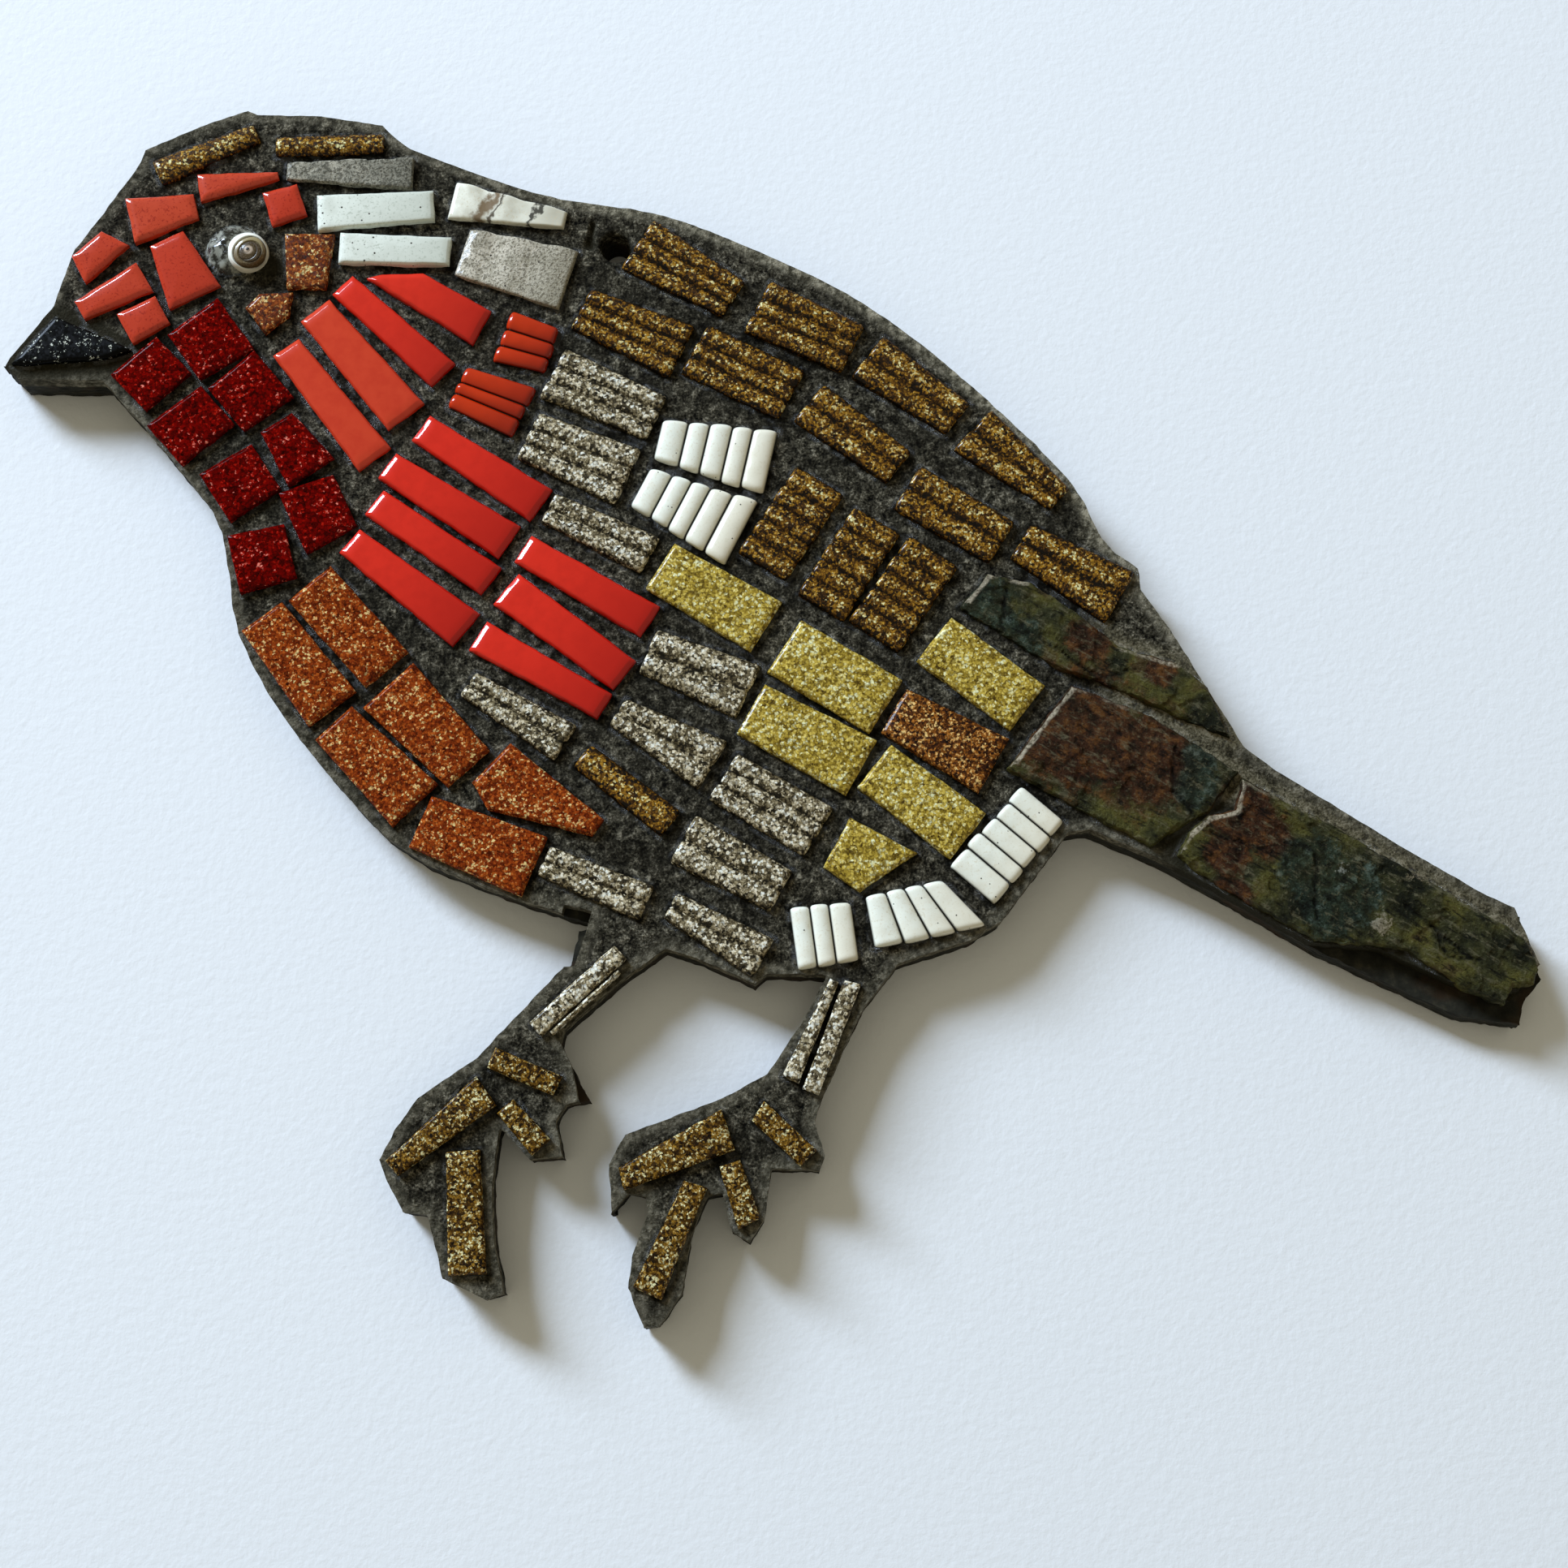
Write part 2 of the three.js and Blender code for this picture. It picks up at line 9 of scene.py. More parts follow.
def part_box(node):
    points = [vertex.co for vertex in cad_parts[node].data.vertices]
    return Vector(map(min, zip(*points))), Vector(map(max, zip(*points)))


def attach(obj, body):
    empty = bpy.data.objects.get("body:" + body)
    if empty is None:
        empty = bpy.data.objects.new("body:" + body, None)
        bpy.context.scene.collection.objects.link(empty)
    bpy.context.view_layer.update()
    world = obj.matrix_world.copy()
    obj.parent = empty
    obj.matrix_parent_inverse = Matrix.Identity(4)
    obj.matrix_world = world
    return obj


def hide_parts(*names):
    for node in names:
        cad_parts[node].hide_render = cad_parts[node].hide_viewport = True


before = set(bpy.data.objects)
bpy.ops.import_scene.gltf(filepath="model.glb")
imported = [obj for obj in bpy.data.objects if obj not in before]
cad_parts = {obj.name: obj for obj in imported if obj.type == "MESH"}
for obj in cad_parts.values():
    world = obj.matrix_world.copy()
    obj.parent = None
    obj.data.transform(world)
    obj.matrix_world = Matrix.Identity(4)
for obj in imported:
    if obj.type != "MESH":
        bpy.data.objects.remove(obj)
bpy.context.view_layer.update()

norm = np.linalg.norm

# Plan coordinates are millimetres: x to the viewer's right and z up, with depth counted from the
# back face towards the viewer.
HANG_TURN = math.radians(-7)
MM = 1000
# A distance in mm greater than any on the panel.
FAR = 1e3
SEED = 11
random = np.random.default_rng(SEED)


def node_mesh(name):
    """Points (x, z, depth) in mm and faces of a CAD node, with shared points merged."""
    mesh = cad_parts[name].data
    raw = np.array([tuple(v.co) for v in mesh.vertices]) * MM
    points = np.stack([raw[:, 0], raw[:, 2], -raw[:, 1]], axis=1)
    _, first, inverse = np.unique(np.round(points, 3), axis=0, return_index=True, return_inverse=True)
    inverse = np.asarray(inverse).ravel()
    faces = [[int(inverse[i]) for i in polygon.vertices] for polygon in mesh.polygons]
    return points[first], faces


def area(loop):
    x, z = loop[:, 0], loop[:, 1]
    return 0.5 * float(np.sum(x * np.roll(z, -1) - np.roll(x, -1) * z))


def anticlockwise(loop):
    return loop if area(loop) > 0 else loop[::-1].copy()


def level_loops(name, depth):
    """Outlines of the flat faces of a node at one depth, largest first."""
    points, faces = node_mesh(name)
    flat = [f for f in faces if all(abs(points[i][2] - depth) < 0.02 for i in f)]
    count = {}
    for f in flat:
        for a, b in zip(f, f[1:] + f[:1]):
            key = (min(a, b), max(a, b))
            count[key] = count.get(key, 0) + 1
    links = {}
    for (a, b), n in count.items():
        if n == 1:
            links.setdefault(a, []).append(b)
            links.setdefault(b, []).append(a)
    loops = []
    seen = set()
    for start in links:
        if start in seen:
            continue
        loop = [start]
        seen.add(start)
        while True:
            onward = [i for i in links[loop[-1]] if i not in seen]
            if not onward:
                break
            loop.append(onward[0])
            seen.add(onward[0])
        loops.append(anticlockwise(points[loop][:, :2]))
    return sorted(loops, key=lambda loop: -abs(area(loop)))


def hull(points):
    """Convex hull, anticlockwise, without points along its sides."""
    order = sorted(map(tuple, points))

    def half(sequence):
        chain = []
        for p in sequence:
            while len(chain) > 1:
                a, b = chain[-2], chain[-1]
                turn = (b[0] - a[0]) * (p[1] - a[1]) - (b[1] - a[1]) * (p[0] - a[0])
                if turn > 0.02 * math.dist(a, p):
                    break
                chain.pop()
            chain.append(p)
        return chain[:-1]

    return np.array(half(order) + half(order[::-1]))


def unit(values):
    """Values held between 0 and 1."""
    return np.clip(values, 0, 1)


def grow(values, start, over):
    """0 up to the start, then rising to 1 over the stretch after it, or before it if negative."""
    return unit((values - start) / over)


def side_lengths(corners):
    return norm(np.roll(corners, -1, axis=0) - corners, axis=1)


def raised(plan_points, depth):
    """Plan points with a depth beside them: one for all, or one for each."""
    return np.column_stack([plan_points, np.broadcast_to(depth, len(plan_points))])


def moved(loop, outward, distances):
    """A loop's points moved outward, each by its own distance."""
    return loop + outward * distances[:, None]


def segment_distance(points, a, b):
    d = b - a
    t = unit(((points - a) @ d) / max(float(d @ d), 1e-9))
    return norm(points - a - t[:, None] * d, axis=1)


def tiles_of(name):
    """The tiles of a node: their corners, rib count, and the side where the ribs start."""
    points, faces = node_mesh(name)
    top = points[:, 2] > TILE_BOTTOM + 0.8
    parent = list(range(len(points)))

    def root(i):
        while parent[i] != i:
            i = parent[i]
        return i

    for f in faces:
        high = [i for i in f if top[i]]
        for a, b in zip(high, high[1:]):
            parent[root(a)] = root(b)
    groups = {}
    for i in np.nonzero(top)[0]:
        groups.setdefault(root(int(i)), []).append(int(i))
    tiles = []
    for members in groups.values():
        if len(members) < 4:
            continue
        own = points[members]
        corners = hull(own[:, :2])
        sides = []
        for i, a in enumerate(corners):
            b = corners[(i + 1) % len(corners)]
            near = segment_distance(own[:, :2], a, b) < 0.05
            for end in (a, b):
                near &= norm(own[:, :2] - end, axis=1) > 0.1
            sides.append(int(near.sum()))
        ribs = round((max(sides) + 1) / 4) if max(sides) > 2 else 0
        tiles.append({"corners": corners, "ribs": ribs, "first": int(np.argmax(sides))})
    return sorted(tiles, key=lambda tile: tuple(tile["corners"].mean(axis=0)))


def inside(points, loop):
    x, z = points[:, 0], points[:, 1]
    result = np.zeros(len(points), bool)
    for a, b in zip(loop, np.roll(loop, -1, axis=0)):
        if a[1] == b[1]:
            continue
        crosses = (a[1] > z) != (b[1] > z)
        result ^= crosses & (x < (b[0] - a[0]) * (z - a[1]) / (b[1] - a[1]) + a[0])
    return result


def loop_distance(points, loop, reach=1e9):
    """Distance from each point to a loop, for points nearer than reach to its box."""
    best = np.full(len(points), FAR)
    low, high = loop.min(axis=0) - reach, loop.max(axis=0) + reach
    near = np.all((points >= low) & (points <= high), axis=1)
    own = points[near]
    if len(own):
        distance = np.full(len(own), FAR)
        for a, b in zip(loop, np.roll(loop, -1, axis=0)):
            distance = np.minimum(distance, segment_distance(own, a, b))
        best[near] = distance
    return best


def ring_points(corners, counts):
    """Corners with further points between them, so many for each side."""
    out = []
    for i, a in enumerate(corners):
        b = corners[(i + 1) % len(corners)]
        out.extend(a + (b - a) * k / counts[i] for k in range(counts[i]))
    return np.array(out)


def resample(loop, step):
    """The loop's corners with further points between them, about a step apart."""
    return ring_points(loop, [max(1, round(length / step)) for length in side_lengths(loop)])


def normals_of(loop):
    """Outward directions at the points of an anticlockwise loop."""
    along = np.roll(loop, -1, axis=0) - np.roll(loop, 1, axis=0)
    along /= np.maximum(norm(along, axis=1, keepdims=True), 1e-9)
    return np.stack([along[:, 1], -along[:, 0]], axis=1)


def mitred(loop, distance):
    """A loop with every side moved outward by a distance."""
    before = loop - np.roll(loop, 1, axis=0)
    after = np.roll(loop, -1, axis=0) - loop
    before /= norm(before, axis=1, keepdims=True)
    after /= norm(after, axis=1, keepdims=True)
    n1 = np.stack([before[:, 1], -before[:, 0]], axis=1)
    n2 = np.stack([after[:, 1], -after[:, 0]], axis=1)
    middle = n1 + n2
    middle /= np.maximum(norm(middle, axis=1, keepdims=True), 1e-9)
    cosine = np.maximum(np.sum(middle * n2, axis=1, keepdims=True), 0.4)
    return loop + middle * distance / cosine


def value_noise(points, size, seed=0.0, octaves=1):
    """Smooth noise from -1 to 1 at plan points, with features of about the given size in mm."""
    out = np.zeros(len(points))
    weight, total = 1.0, 0.0
    for octave in range(octaves):
        s = size / 2 ** octave
        layer = seed + 7.3 * octave
        out += weight * np.array([noise.noise(Vector((p[0] / s, p[1] / s, layer))) for p in points])
        total += weight
        weight *= 0.5
    return out / total


def triangulate(outer, holes=(), extra=None):
    """Points and triangles that fill a loop, less its holes, through the extra points."""
    loops = [outer, *holes]
    points = [Vector(p) for loop in loops for p in loop]
    edges = []
    start = 0
    for loop in loops:
        n = len(loop)
        edges.extend((start + i, start + (i + 1) % n) for i in range(n))
        start += n
    if extra is not None:
        points.extend(Vector(p) for p in extra)
    verts, _, faces, _, _, _ = delaunay_2d_cdt(points, edges, [], 0, 1e-5)
    verts = np.array([tuple(v) for v in verts])
    faces = np.array([tuple(f) for f in faces])
    middle = verts[faces].mean(axis=1)
    keep = inside(middle, outer)
    for hole in holes:
        keep &= ~inside(middle, hole)
    faces = faces[keep]
    a, b, c = verts[faces[:, 0]], verts[faces[:, 1]], verts[faces[:, 2]]
    turn = (b[:, 0] - a[:, 0]) * (c[:, 1] - a[:, 1]) - (b[:, 1] - a[:, 1]) * (c[:, 0] - a[:, 0])
    faces[turn < 0] = faces[turn < 0][:, ::-1]
    return verts, faces


def placed(name, data):
    """A new object in the scene."""
    obj = bpy.data.objects.new(name, data)
    bpy.context.scene.collection.objects.link(obj)
    return obj


class Builder:
    """Collects points, faces and point attributes of one mesh, in plan mm."""

    def __init__(self):
        self.points, self.faces, self.attributes = [], [], {}
        self.count = 0

    def add(self, points, faces, **attributes):
        points = np.asarray(points, float)
        self.points.append(points)
        self.faces.extend([tuple(int(i) + self.count for i in f) for f in faces])
        for name, values in attributes.items():
            values = np.broadcast_to(np.asarray(values, float), (len(points),))
            self.attributes.setdefault(name, []).append((self.count, values))
        self.count += len(points)

    def make(self, name, material, smooth=True):
        p = np.concatenate(self.points)
        verts = np.stack([p[:, 0], -p[:, 2], p[:, 1]], axis=1) / MM
        mesh = bpy.data.meshes.new(name)
        mesh.from_pydata(verts.tolist(), [], self.faces)
        for key, parts in self.attributes.items():
            values = np.zeros(len(verts), np.float32)
            for start, part in parts:
                values[start:start + len(part)] = part
            mesh.attributes.new(key, "FLOAT", "POINT").data.foreach_set("value", values)
        mesh.materials.append(material)
        if smooth:
            mesh.polygons.foreach_set("use_smooth", [True] * len(mesh.polygons))
        mesh.update()
        return placed(name, mesh)


def strip_faces(rings, count):
    """Quads between successive rings of count points, numbered from zero."""
    faces = []
    for r in range(rings - 1):
        for i in range(count):
            a, b = r * count + i, r * count + (i + 1) % count
            faces.append((a, b, b + count, a + count))
    return faces


def turned_strip(count):
    """Quads between two rings of count points that face the other way from strip_faces."""
    return [(i, i + count, (i + 1) % count + count, (i + 1) % count) for i in range(count)]


# Levels and outlines, read from the frame.
base_points, _ = node_mesh("slate_base")
BASE_THICK = float(base_points[:, 2].max())
grout_points, _ = node_mesh("grout")
GROUT_BOTTOM = float(grout_points[:, 2].min())
tile_points, _ = node_mesh("gold_tile_1")
TILE_BOTTOM = float(tile_points[:, 2].min())
TILE_FACE = float(tile_points[:, 2].max())
base_loops = level_loops("slate_base", BASE_THICK)
OUTLINE, HOLE = base_loops[0], base_loops[1]
GROUT_LINE = level_loops("grout", GROUT_BOTTOM)[0]


def inset_sides(corners, distances):
    """A polygon with each side moved inward by its own distance."""
    ahead = np.roll(corners, -1, axis=0) - corners
    ahead /= norm(ahead, axis=1, keepdims=True)
    inward = np.stack([-ahead[:, 1], ahead[:, 0]], axis=1)
    out = []
    for i, corner in enumerate(corners):
        pair = np.array([inward[i - 1], inward[i]])
        if abs(np.linalg.det(pair)) < 0.2:
            out.append(corner + inward[i] * distances[i])
        else:
            out.append(corner + np.linalg.solve(pair, [distances[i - 1], distances[i]]))
    return np.array(out)


def slant(points, centre, turn):
    """A small height added over a tile that was not set quite flat."""
    return (points - centre) @ turn


def lit_to_shaded(points, corners):
    """0 at a tile's upper left end and 1 at its lower right end."""
    along = corners @ AWAY_FROM_LIGHT
    low, high = along.min(), along.max()
    return (points @ AWAY_FROM_LIGHT - low) / max(high - low, 1e-6)


AWAY_FROM_LIGHT = np.array([0.8, -0.6])
# How far a tile leans, as a slope, and how far it stands above or below the others.
TILE_LEAN = 0.008
TILE_LIFT = 0.06
# A flat tile's edge: part of the way in, and how far it has fallen there.
EDGE_PROFILE = ((0.0, 1.0), (0.05, 0.86), (0.14, 0.72), (0.4, 0.48), (0.66, 0.25), (0.88, 0.07), (1.0, 0.0))


def add_flat(b, tile, end_round=0.65, side_round=0.35, drop=0.46, dome=0.12, wobble=0.1, lift=0.0,
             tint=0.0):
    """A tile with a flat face. Its short ends and its long sides are rounded each by its own amount."""
    corners = tile["corners"]
    centre = corners.mean(axis=0)
    lengths = side_lengths(corners)
    counts = [max(3, round(length / 0.7)) for length in lengths]
    rounds = np.where(lengths < 0.62 * lengths.max(), end_round, side_round)
    outer = ring_points(corners, counts)
    push = value_noise(outer, 1.6, centre[0]) * wobble + value_noise(outer, 5.0, centre[1]) * wobble
    shift = normals_of(outer) * push[:, None]
    face = TILE_FACE + lift
    turn = random.normal(0, TILE_LEAN, 2)
    rings, depths = [outer + shift], [TILE_BOTTOM]
    for part, fall in EDGE_PROFILE:
        rings.append(ring_points(inset_sides(corners, rounds * part), counts) + shift * (1 - part / 2))
        depths.append(face - drop * fall)
    top = rings[-1]
    for f in (0.12, 0.35, 0.7):
        rings.append(top + (centre - top) * f)
        depths.append(face + dome * (1 - (1 - f) ** 2))
    n = len(outer)
    points = []
    for ring, depth in zip(rings, depths):
        extra = slant(ring, centre, turn) if depth > TILE_BOTTOM else 0.0
        points.append(raised(ring, depth + extra))
    faces = strip_faces(len(rings), n)
    last = (len(rings) - 1) * n
    middle = len(rings) * n
    faces.extend((last + i, last + (i + 1) % n, middle) for i in range(n))
    points = np.vstack([*points, [[centre[0], centre[1], face + dome]]])
    b.add(points, faces, crest=1.0, u=lit_to_shaded(points[:, :2], corners), tint=tint)


def round_over(part):
    """1 at an edge, falling to 0 inside it like a quarter of a circle."""
    return 1 - np.sqrt(unit(1 - (1 - unit(part)) ** 2))


def rib_bounds(ribs, ends, uneven):
    widths = 1 + random.normal(0, 1, ribs) * uneven
    if ribs > 1:
        widths[0] *= ends
        widths[-1] *= ends
    return np.concatenate([[0], np.cumsum(widths / widths.sum())])


# Steps in from a ribbed tile's end in mm, and steps across one rib.
END_STEPS = np.array([0, 0.05, 0.14, 0.28, 0.46, 0.68, 0.95, 1.3])
MIDDLE_START = 2.1
MIDDLE_STEPS = 12
RIB_STEPS = (0.03, 0.08, 0.16, 0.27, 0.39, 0.5, 0.61, 0.73, 0.84, 0.92, 0.97, 1.0)


def add_ribbed(b, tile, height=0.55, power=0.75, end_round=0.9, side_drop=0.5, ends=1.15, notch=0.25,
               ragged=0.06, uneven=0.0, rough=0.06, lift=0.0, tint=0.0):
    """A tile whose ribs start at its first side and end at the opposite one. Power 0 gives soft waves."""
    c = np.roll(tile["corners"], -tile["first"], axis=0)
    centre = c.mean(axis=0)
    face = TILE_FACE + lift
    turn = random.normal(0, TILE_LEAN, 2)
    length = (norm(c[3] - c[0]) + norm(c[2] - c[1])) / 2
    width = (norm(c[1] - c[0]) + norm(c[2] - c[3])) / 2
    near, far = END_STEPS / length, MIDDLE_START / length
    s = np.concatenate([near, np.linspace(far, 1 - far, MIDDLE_STEPS), 1 - near[::-1]])
    bounds = rib_bounds(tile["ribs"], ends, uneven)
    t, across = [0.0], [1.0]
    for low, high in zip(bounds[:-1], bounds[1:]):
        for part in RIB_STEPS:
            t.append(low + (high - low) * part)
            across.append(abs(2 * part - 1))
    t, across = np.array(t), np.array(across)
    crest_t = (1 - across ** 2) ** power if power else 0.5 + 0.5 * np.cos(math.pi * across)
    S, T = np.meshgrid(s, t, indexing="ij")
    C = np.broadcast_to(crest_t, S.shape)
    left = c[0] + (c[1] - c[0]) * T[..., None]
    right = c[3] + (c[2] - c[3]) * T[..., None]
    plan = left + (right - left) * S[..., None]
    to_end = np.minimum(S, 1 - S) * length
    to_side = np.minimum(T, 1 - T) * width
    depth = face - height * (1 - C) - end_round * 0.85 * round_over(to_end / end_round)
    depth -= side_drop * round_over(to_side / 0.5)
    # Between the ribs the ends are drawn in, so each rib ends in its own rounded tip.
    direction = (right - left) / np.maximum(norm(right - left, axis=-1, keepdims=True), 1e-6)
    near_end = unit(1 - to_end / END_STEPS[-1])
    pull = (1 - C) ** 2 * notch * near_end
    rib_index = np.clip(np.searchsorted(bounds, t, side="right") - 1, 0, tile["ribs"] - 1)
    tips = random.normal(0, ragged, (2, tile["ribs"]))
    pull = pull + np.where(S < 0.5, tips[0][rib_index][None, :], tips[1][rib_index][None, :]) * near_end
    plan = plan + direction * (np.where(S < 0.5, 1, -1) * pull)[..., None]
    rows, cols = S.shape
    flat = plan.reshape(-1, 2)
    depths = depth.reshape(-1) + slant(flat, centre, turn) + value_noise(flat, 2.0, centre[0]) * rough
    depths = np.maximum(depths, TILE_BOTTOM + 0.5)
    points = raised(flat, depths)
    crest = C.reshape(-1).copy()
    faces = []
    for i in range(rows - 1):
        faces.extend((a + cols, a + cols + 1, a + 1, a) for a in range(i * cols, (i + 1) * cols - 1))
    border = list(range(cols))
    border += [i * cols + cols - 1 for i in range(1, rows)]
    border += [(rows - 1) * cols + j for j in range(cols - 2, -1, -1)]
    border += [i * cols for i in range(rows - 2, 0, -1)]
    base = len(points)
    n = len(border)
    skirt = raised(points[border][:, :2], TILE_BOTTOM)
    faces.extend((base + (k + 1) % n, base + k, border[k], border[(k + 1) % n]) for k in range(n))
    points = np.vstack([points, skirt])
    crest = np.append(crest, crest[border])
    b.add(points, faces, crest=crest, u=lit_to_shaded(points[:, :2], c), tint=tint)


def tile_piece(node, material, slot, name=None, tiles=(), flat=None, ribbed=None, tints=None):
    """One piece that stands for a CAD node, or for some of its tiles, in finer shape."""
    b = Builder()
    for i, tile in enumerate(tiles):
        lift = float(random.normal(0, TILE_LIFT))
        tint = 0.0 if tints is None else tints(i)
        if tile["ribs"]:
            add_ribbed(b, tile, lift=lift, tint=tint, **(ribbed or {}))
        else:
            add_flat(b, tile, lift=lift, tint=tint, **(flat or {}))
    obj = b.make(name or "fine_" + node, material)
    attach(obj, "root")
    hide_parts(node)


def rgb(text):
    """A screen colour such as "#c8321e" as a linear one."""
    parts = [int(text[i:i + 2], 16) / 255 for i in (1, 3, 5)]
    linear = [p / 12.92 if p < 0.04045 else ((p + 0.055) / 1.055) ** 2.4 for p in parts]
    return tuple(min(0.95, v * warm) for v, warm in zip(linear, (1.1, 1.0, 0.93))) + (1.0,)


MIDDLE_GREY = (0.5, 0.5, 0.5)


class Shader:
    """A node material being built. Colours may be given as screen colours in text."""

    def __init__(self, name):
        self.material = bpy.data.materials.new(name)
        self.material.use_nodes = True
        self.tree = self.material.node_tree
        self.tree.nodes.clear()
        self.bsdf = self.node("BsdfPrincipled", {})
        self.node("OutputMaterial", {"Surface": self.bsdf.outputs["BSDF"]})
        self.place = self.math3("SCALE", self.node("TexCoord", {}).outputs["Object"], scale=MM)

    def node(self, kind, inputs, **settings):
        """A new node with these settings and inputs, less the inputs given as None."""
        node = self.tree.nodes.new("ShaderNode" + kind)
        for key, value in settings.items():
            setattr(node, key, value)
        for key, value in inputs.items():
            if value is not None:
                self.put(node.inputs[key], value)
        return node

    def put(self, socket, value):
        if isinstance(value, bpy.types.NodeSocket):
            self.tree.links.new(value, socket)
        elif isinstance(value, str):
            socket.default_value = rgb(value)
        else:
            socket.default_value = value

    def set(self, **values):
        for key, value in values.items():
            self.put(self.bsdf.inputs[key.replace("_", " ")], value)

    def math3(self, operation, a, b=None, scale=None):
        return self.node("VectorMath", {0: a, 1: b, "Scale": scale}, operation=operation).outputs["Vector"]

    def math(self, operation, a, b=None):
        return self.node("Math", {0: a, 1: b}, operation=operation).outputs[0]

    def times(self, a, b):
        return self.math("MULTIPLY", a, b)

    def plus(self, a, b):
        return self.math("ADD", a, b)

    def minus(self, a, b):
        return self.math("SUBTRACT", a, b)

    def noise(self, size, detail=3.0, rough=0.55, where=None, colour=False):
        inputs = {"Vector": where or self.place, "Scale": 1 / size, "Detail": detail, "Roughness": rough}
        return self.node("TexNoise", inputs).outputs["Color" if colour else "Fac"]

    def cells(self, size, where=None):
        node = self.node("TexVoronoi", {"Vector": where or self.place, "Scale": 1 / size})
        return node.outputs["Distance"], node.outputs["Color"]

    def channel(self, colour, index):
        return self.node("SeparateColor", {0: colour}).outputs[index]

    def ramp(self, value, stops):
        node = self.node("ValToRGB", {0: value})
        elements = node.color_ramp.elements
        while len(elements) < len(stops):
            elements.new(0.5)
        for element, (position, colour) in zip(elements, stops):
            element.position = position
            element.color = rgb(colour)
        return node.outputs["Color"]

    def level(self, value, low, high, out_low=0.0, out_high=1.0):
        """A smooth step from one level to another while the value goes from low to high."""
        inputs = {0: value, 1: low, 2: high, 3: out_low, 4: out_high}
        return self.node("MapRange", inputs, interpolation_type="SMOOTHSTEP").outputs[0]

    def mix(self, factor, a, b):
        return self.node("Mix", {0: factor, 6: a, 7: b}, data_type="RGBA").outputs[2]

    def stain(self, factor, colour):
        """Lays a colour over the shader's colour so far, as strongly as the factor says."""
        self.colour = self.mix(factor, self.colour, colour)

    def attribute(self, name):
        return self.node("Attribute", {}, attribute_name=name).outputs["Fac"]

    def pits(self, spacing, size, share):
        """Small round spots in a share of the cells."""
        distance, cell = self.cells(spacing)
        chosen = self.level(self.channel(cell, 0), 1 - share, 1 - share + 0.02)
        return self.times(self.level(distance, size, size / 2), chosen)

    def bump(self, height, strength, distance_mm):
        inputs = {"Strength": strength, "Distance": distance_mm / MM, "Height": height}
        return self.node("Bump", inputs).outputs["Normal"]

    def turned(self, angle, scale):
        """Coordinates turned about the Y axis, then divided by a scale on each axis."""
        inputs = {"Vector": self.place, "Rotation": (0, angle, 0), "Scale": scale}
        return self.node("Mapping", inputs, vector_type="TEXTURE").outputs["Vector"]

    def scattered_normal(self, colour, amount):
        """The surface normal leaned a random way in each cell."""
        where = self.node("NewGeometry", {})
        lean = self.math3("SCALE", self.math3("SUBTRACT", colour, MIDDLE_GREY), scale=amount)
        return self.math3("NORMALIZE", self.math3("ADD", where.outputs["Normal"], lean))


def glitter(name, shades, size=0.5, places=(0.08, 0.3, 0.52, 0.76, 0.94), lean=0.3, valley_shade=0.38, coat=0.4,
            pits=0.0, shine=0.04):
    """Glass tile full of metal flakes. Shades run from the darkest gaps to the brightest flakes."""
    s = Shader(name)
    wander = s.math3("SUBTRACT", s.noise(size * 0.9, 1.0, colour=True), MIDDLE_GREY)
    wander = s.math3("SCALE", wander, scale=size * 1.3)
    distance, colour = s.cells(size, s.math3("ADD", s.place, wander))
    pick = s.channel(colour, 0)
    fine = s.channel(s.cells(size * 0.55)[1], 1)
    cloud = s.noise(3.0, 3.0)
    shade = s.plus(s.times(pick, 0.72), s.times(fine, 0.28))
    shade = s.plus(shade, s.times(s.minus(cloud, 0.5), 0.5))
    # Painted shade: the flakes are darker down in the valleys between the ribs.
    shade = s.plus(shade, s.times(s.minus(s.attribute("crest"), 0.9), valley_shade))
    flakes = s.ramp(shade, list(zip(places, shades)))
    flakes = s.mix(s.times(s.level(distance, 0.4, 0.8), 0.6), flakes, shades[0])
    if pits:
        flakes = s.mix(s.pits(2.3, 0.14, pits), flakes, "#120c04")
    s.set(Base_Color=flakes, Roughness=0.5, Specular_IOR_Level=shine, Coat_Weight=coat, Coat_Roughness=0.08)
    s.set(Normal=s.scattered_normal(colour, lean))
    return s.material


def glaze(name, lit, shaded, other, rough=0.25, pits=0.0, mottle=0.15, groove_seam_and_shade=None, coat=0.6, specks=None,
          bands=(), grit=0.0, pit_size=0.14, speck_from=0.54):
    """Glossy glaze: lit and shaded are its colours at a tile's two ends, other is a second tint.
    Bands are stains across the tile: place along it, half width and colour."""
    s = Shader(name)
    s.colour = s.mix(s.level(s.attribute("u"), 0.2, 1.1), lit, shaded)
    s.stain(s.attribute("tint"), other)
    cloud = s.noise(2.2, 4.0)
    grain = s.noise(0.5, 4.0, 0.7)
    s.stain(s.times(s.level(cloud, 0.35, 0.7), mottle), shaded)
    if specks is not None:
        s.stain(s.level(grain, speck_from, speck_from + 0.1, 0.0, 0.7), specks)
    wavering = s.plus(s.attribute("u"), s.times(s.minus(cloud, 0.5), 0.25))
    for place, width, stain in bands:
        away = s.math("ABSOLUTE", s.minus(wavering, place))
        s.stain(s.level(away, width, width * 0.2, 0.0, 0.9), stain)
    # Darker in the valleys between the ribs: partly the dark seams there, partly painted shade.
    if groove_seam_and_shade is not None:
        s.stain(s.level(s.attribute("crest"), 0.6, 0.25), groove_seam_and_shade)
    if pits:
        s.stain(s.pits(1.7, pit_size, pits), "#2a2620")
    s.set(Base_Color=s.colour, Roughness=rough, Specular_IOR_Level=0.1, Coat_Weight=coat, Coat_Roughness=0.05)
    s.set(Normal=s.bump(grain, 1.0, grit) if grit else s.bump(s.noise(1.1, 2.0), 0.25, 0.05))
    return s.material


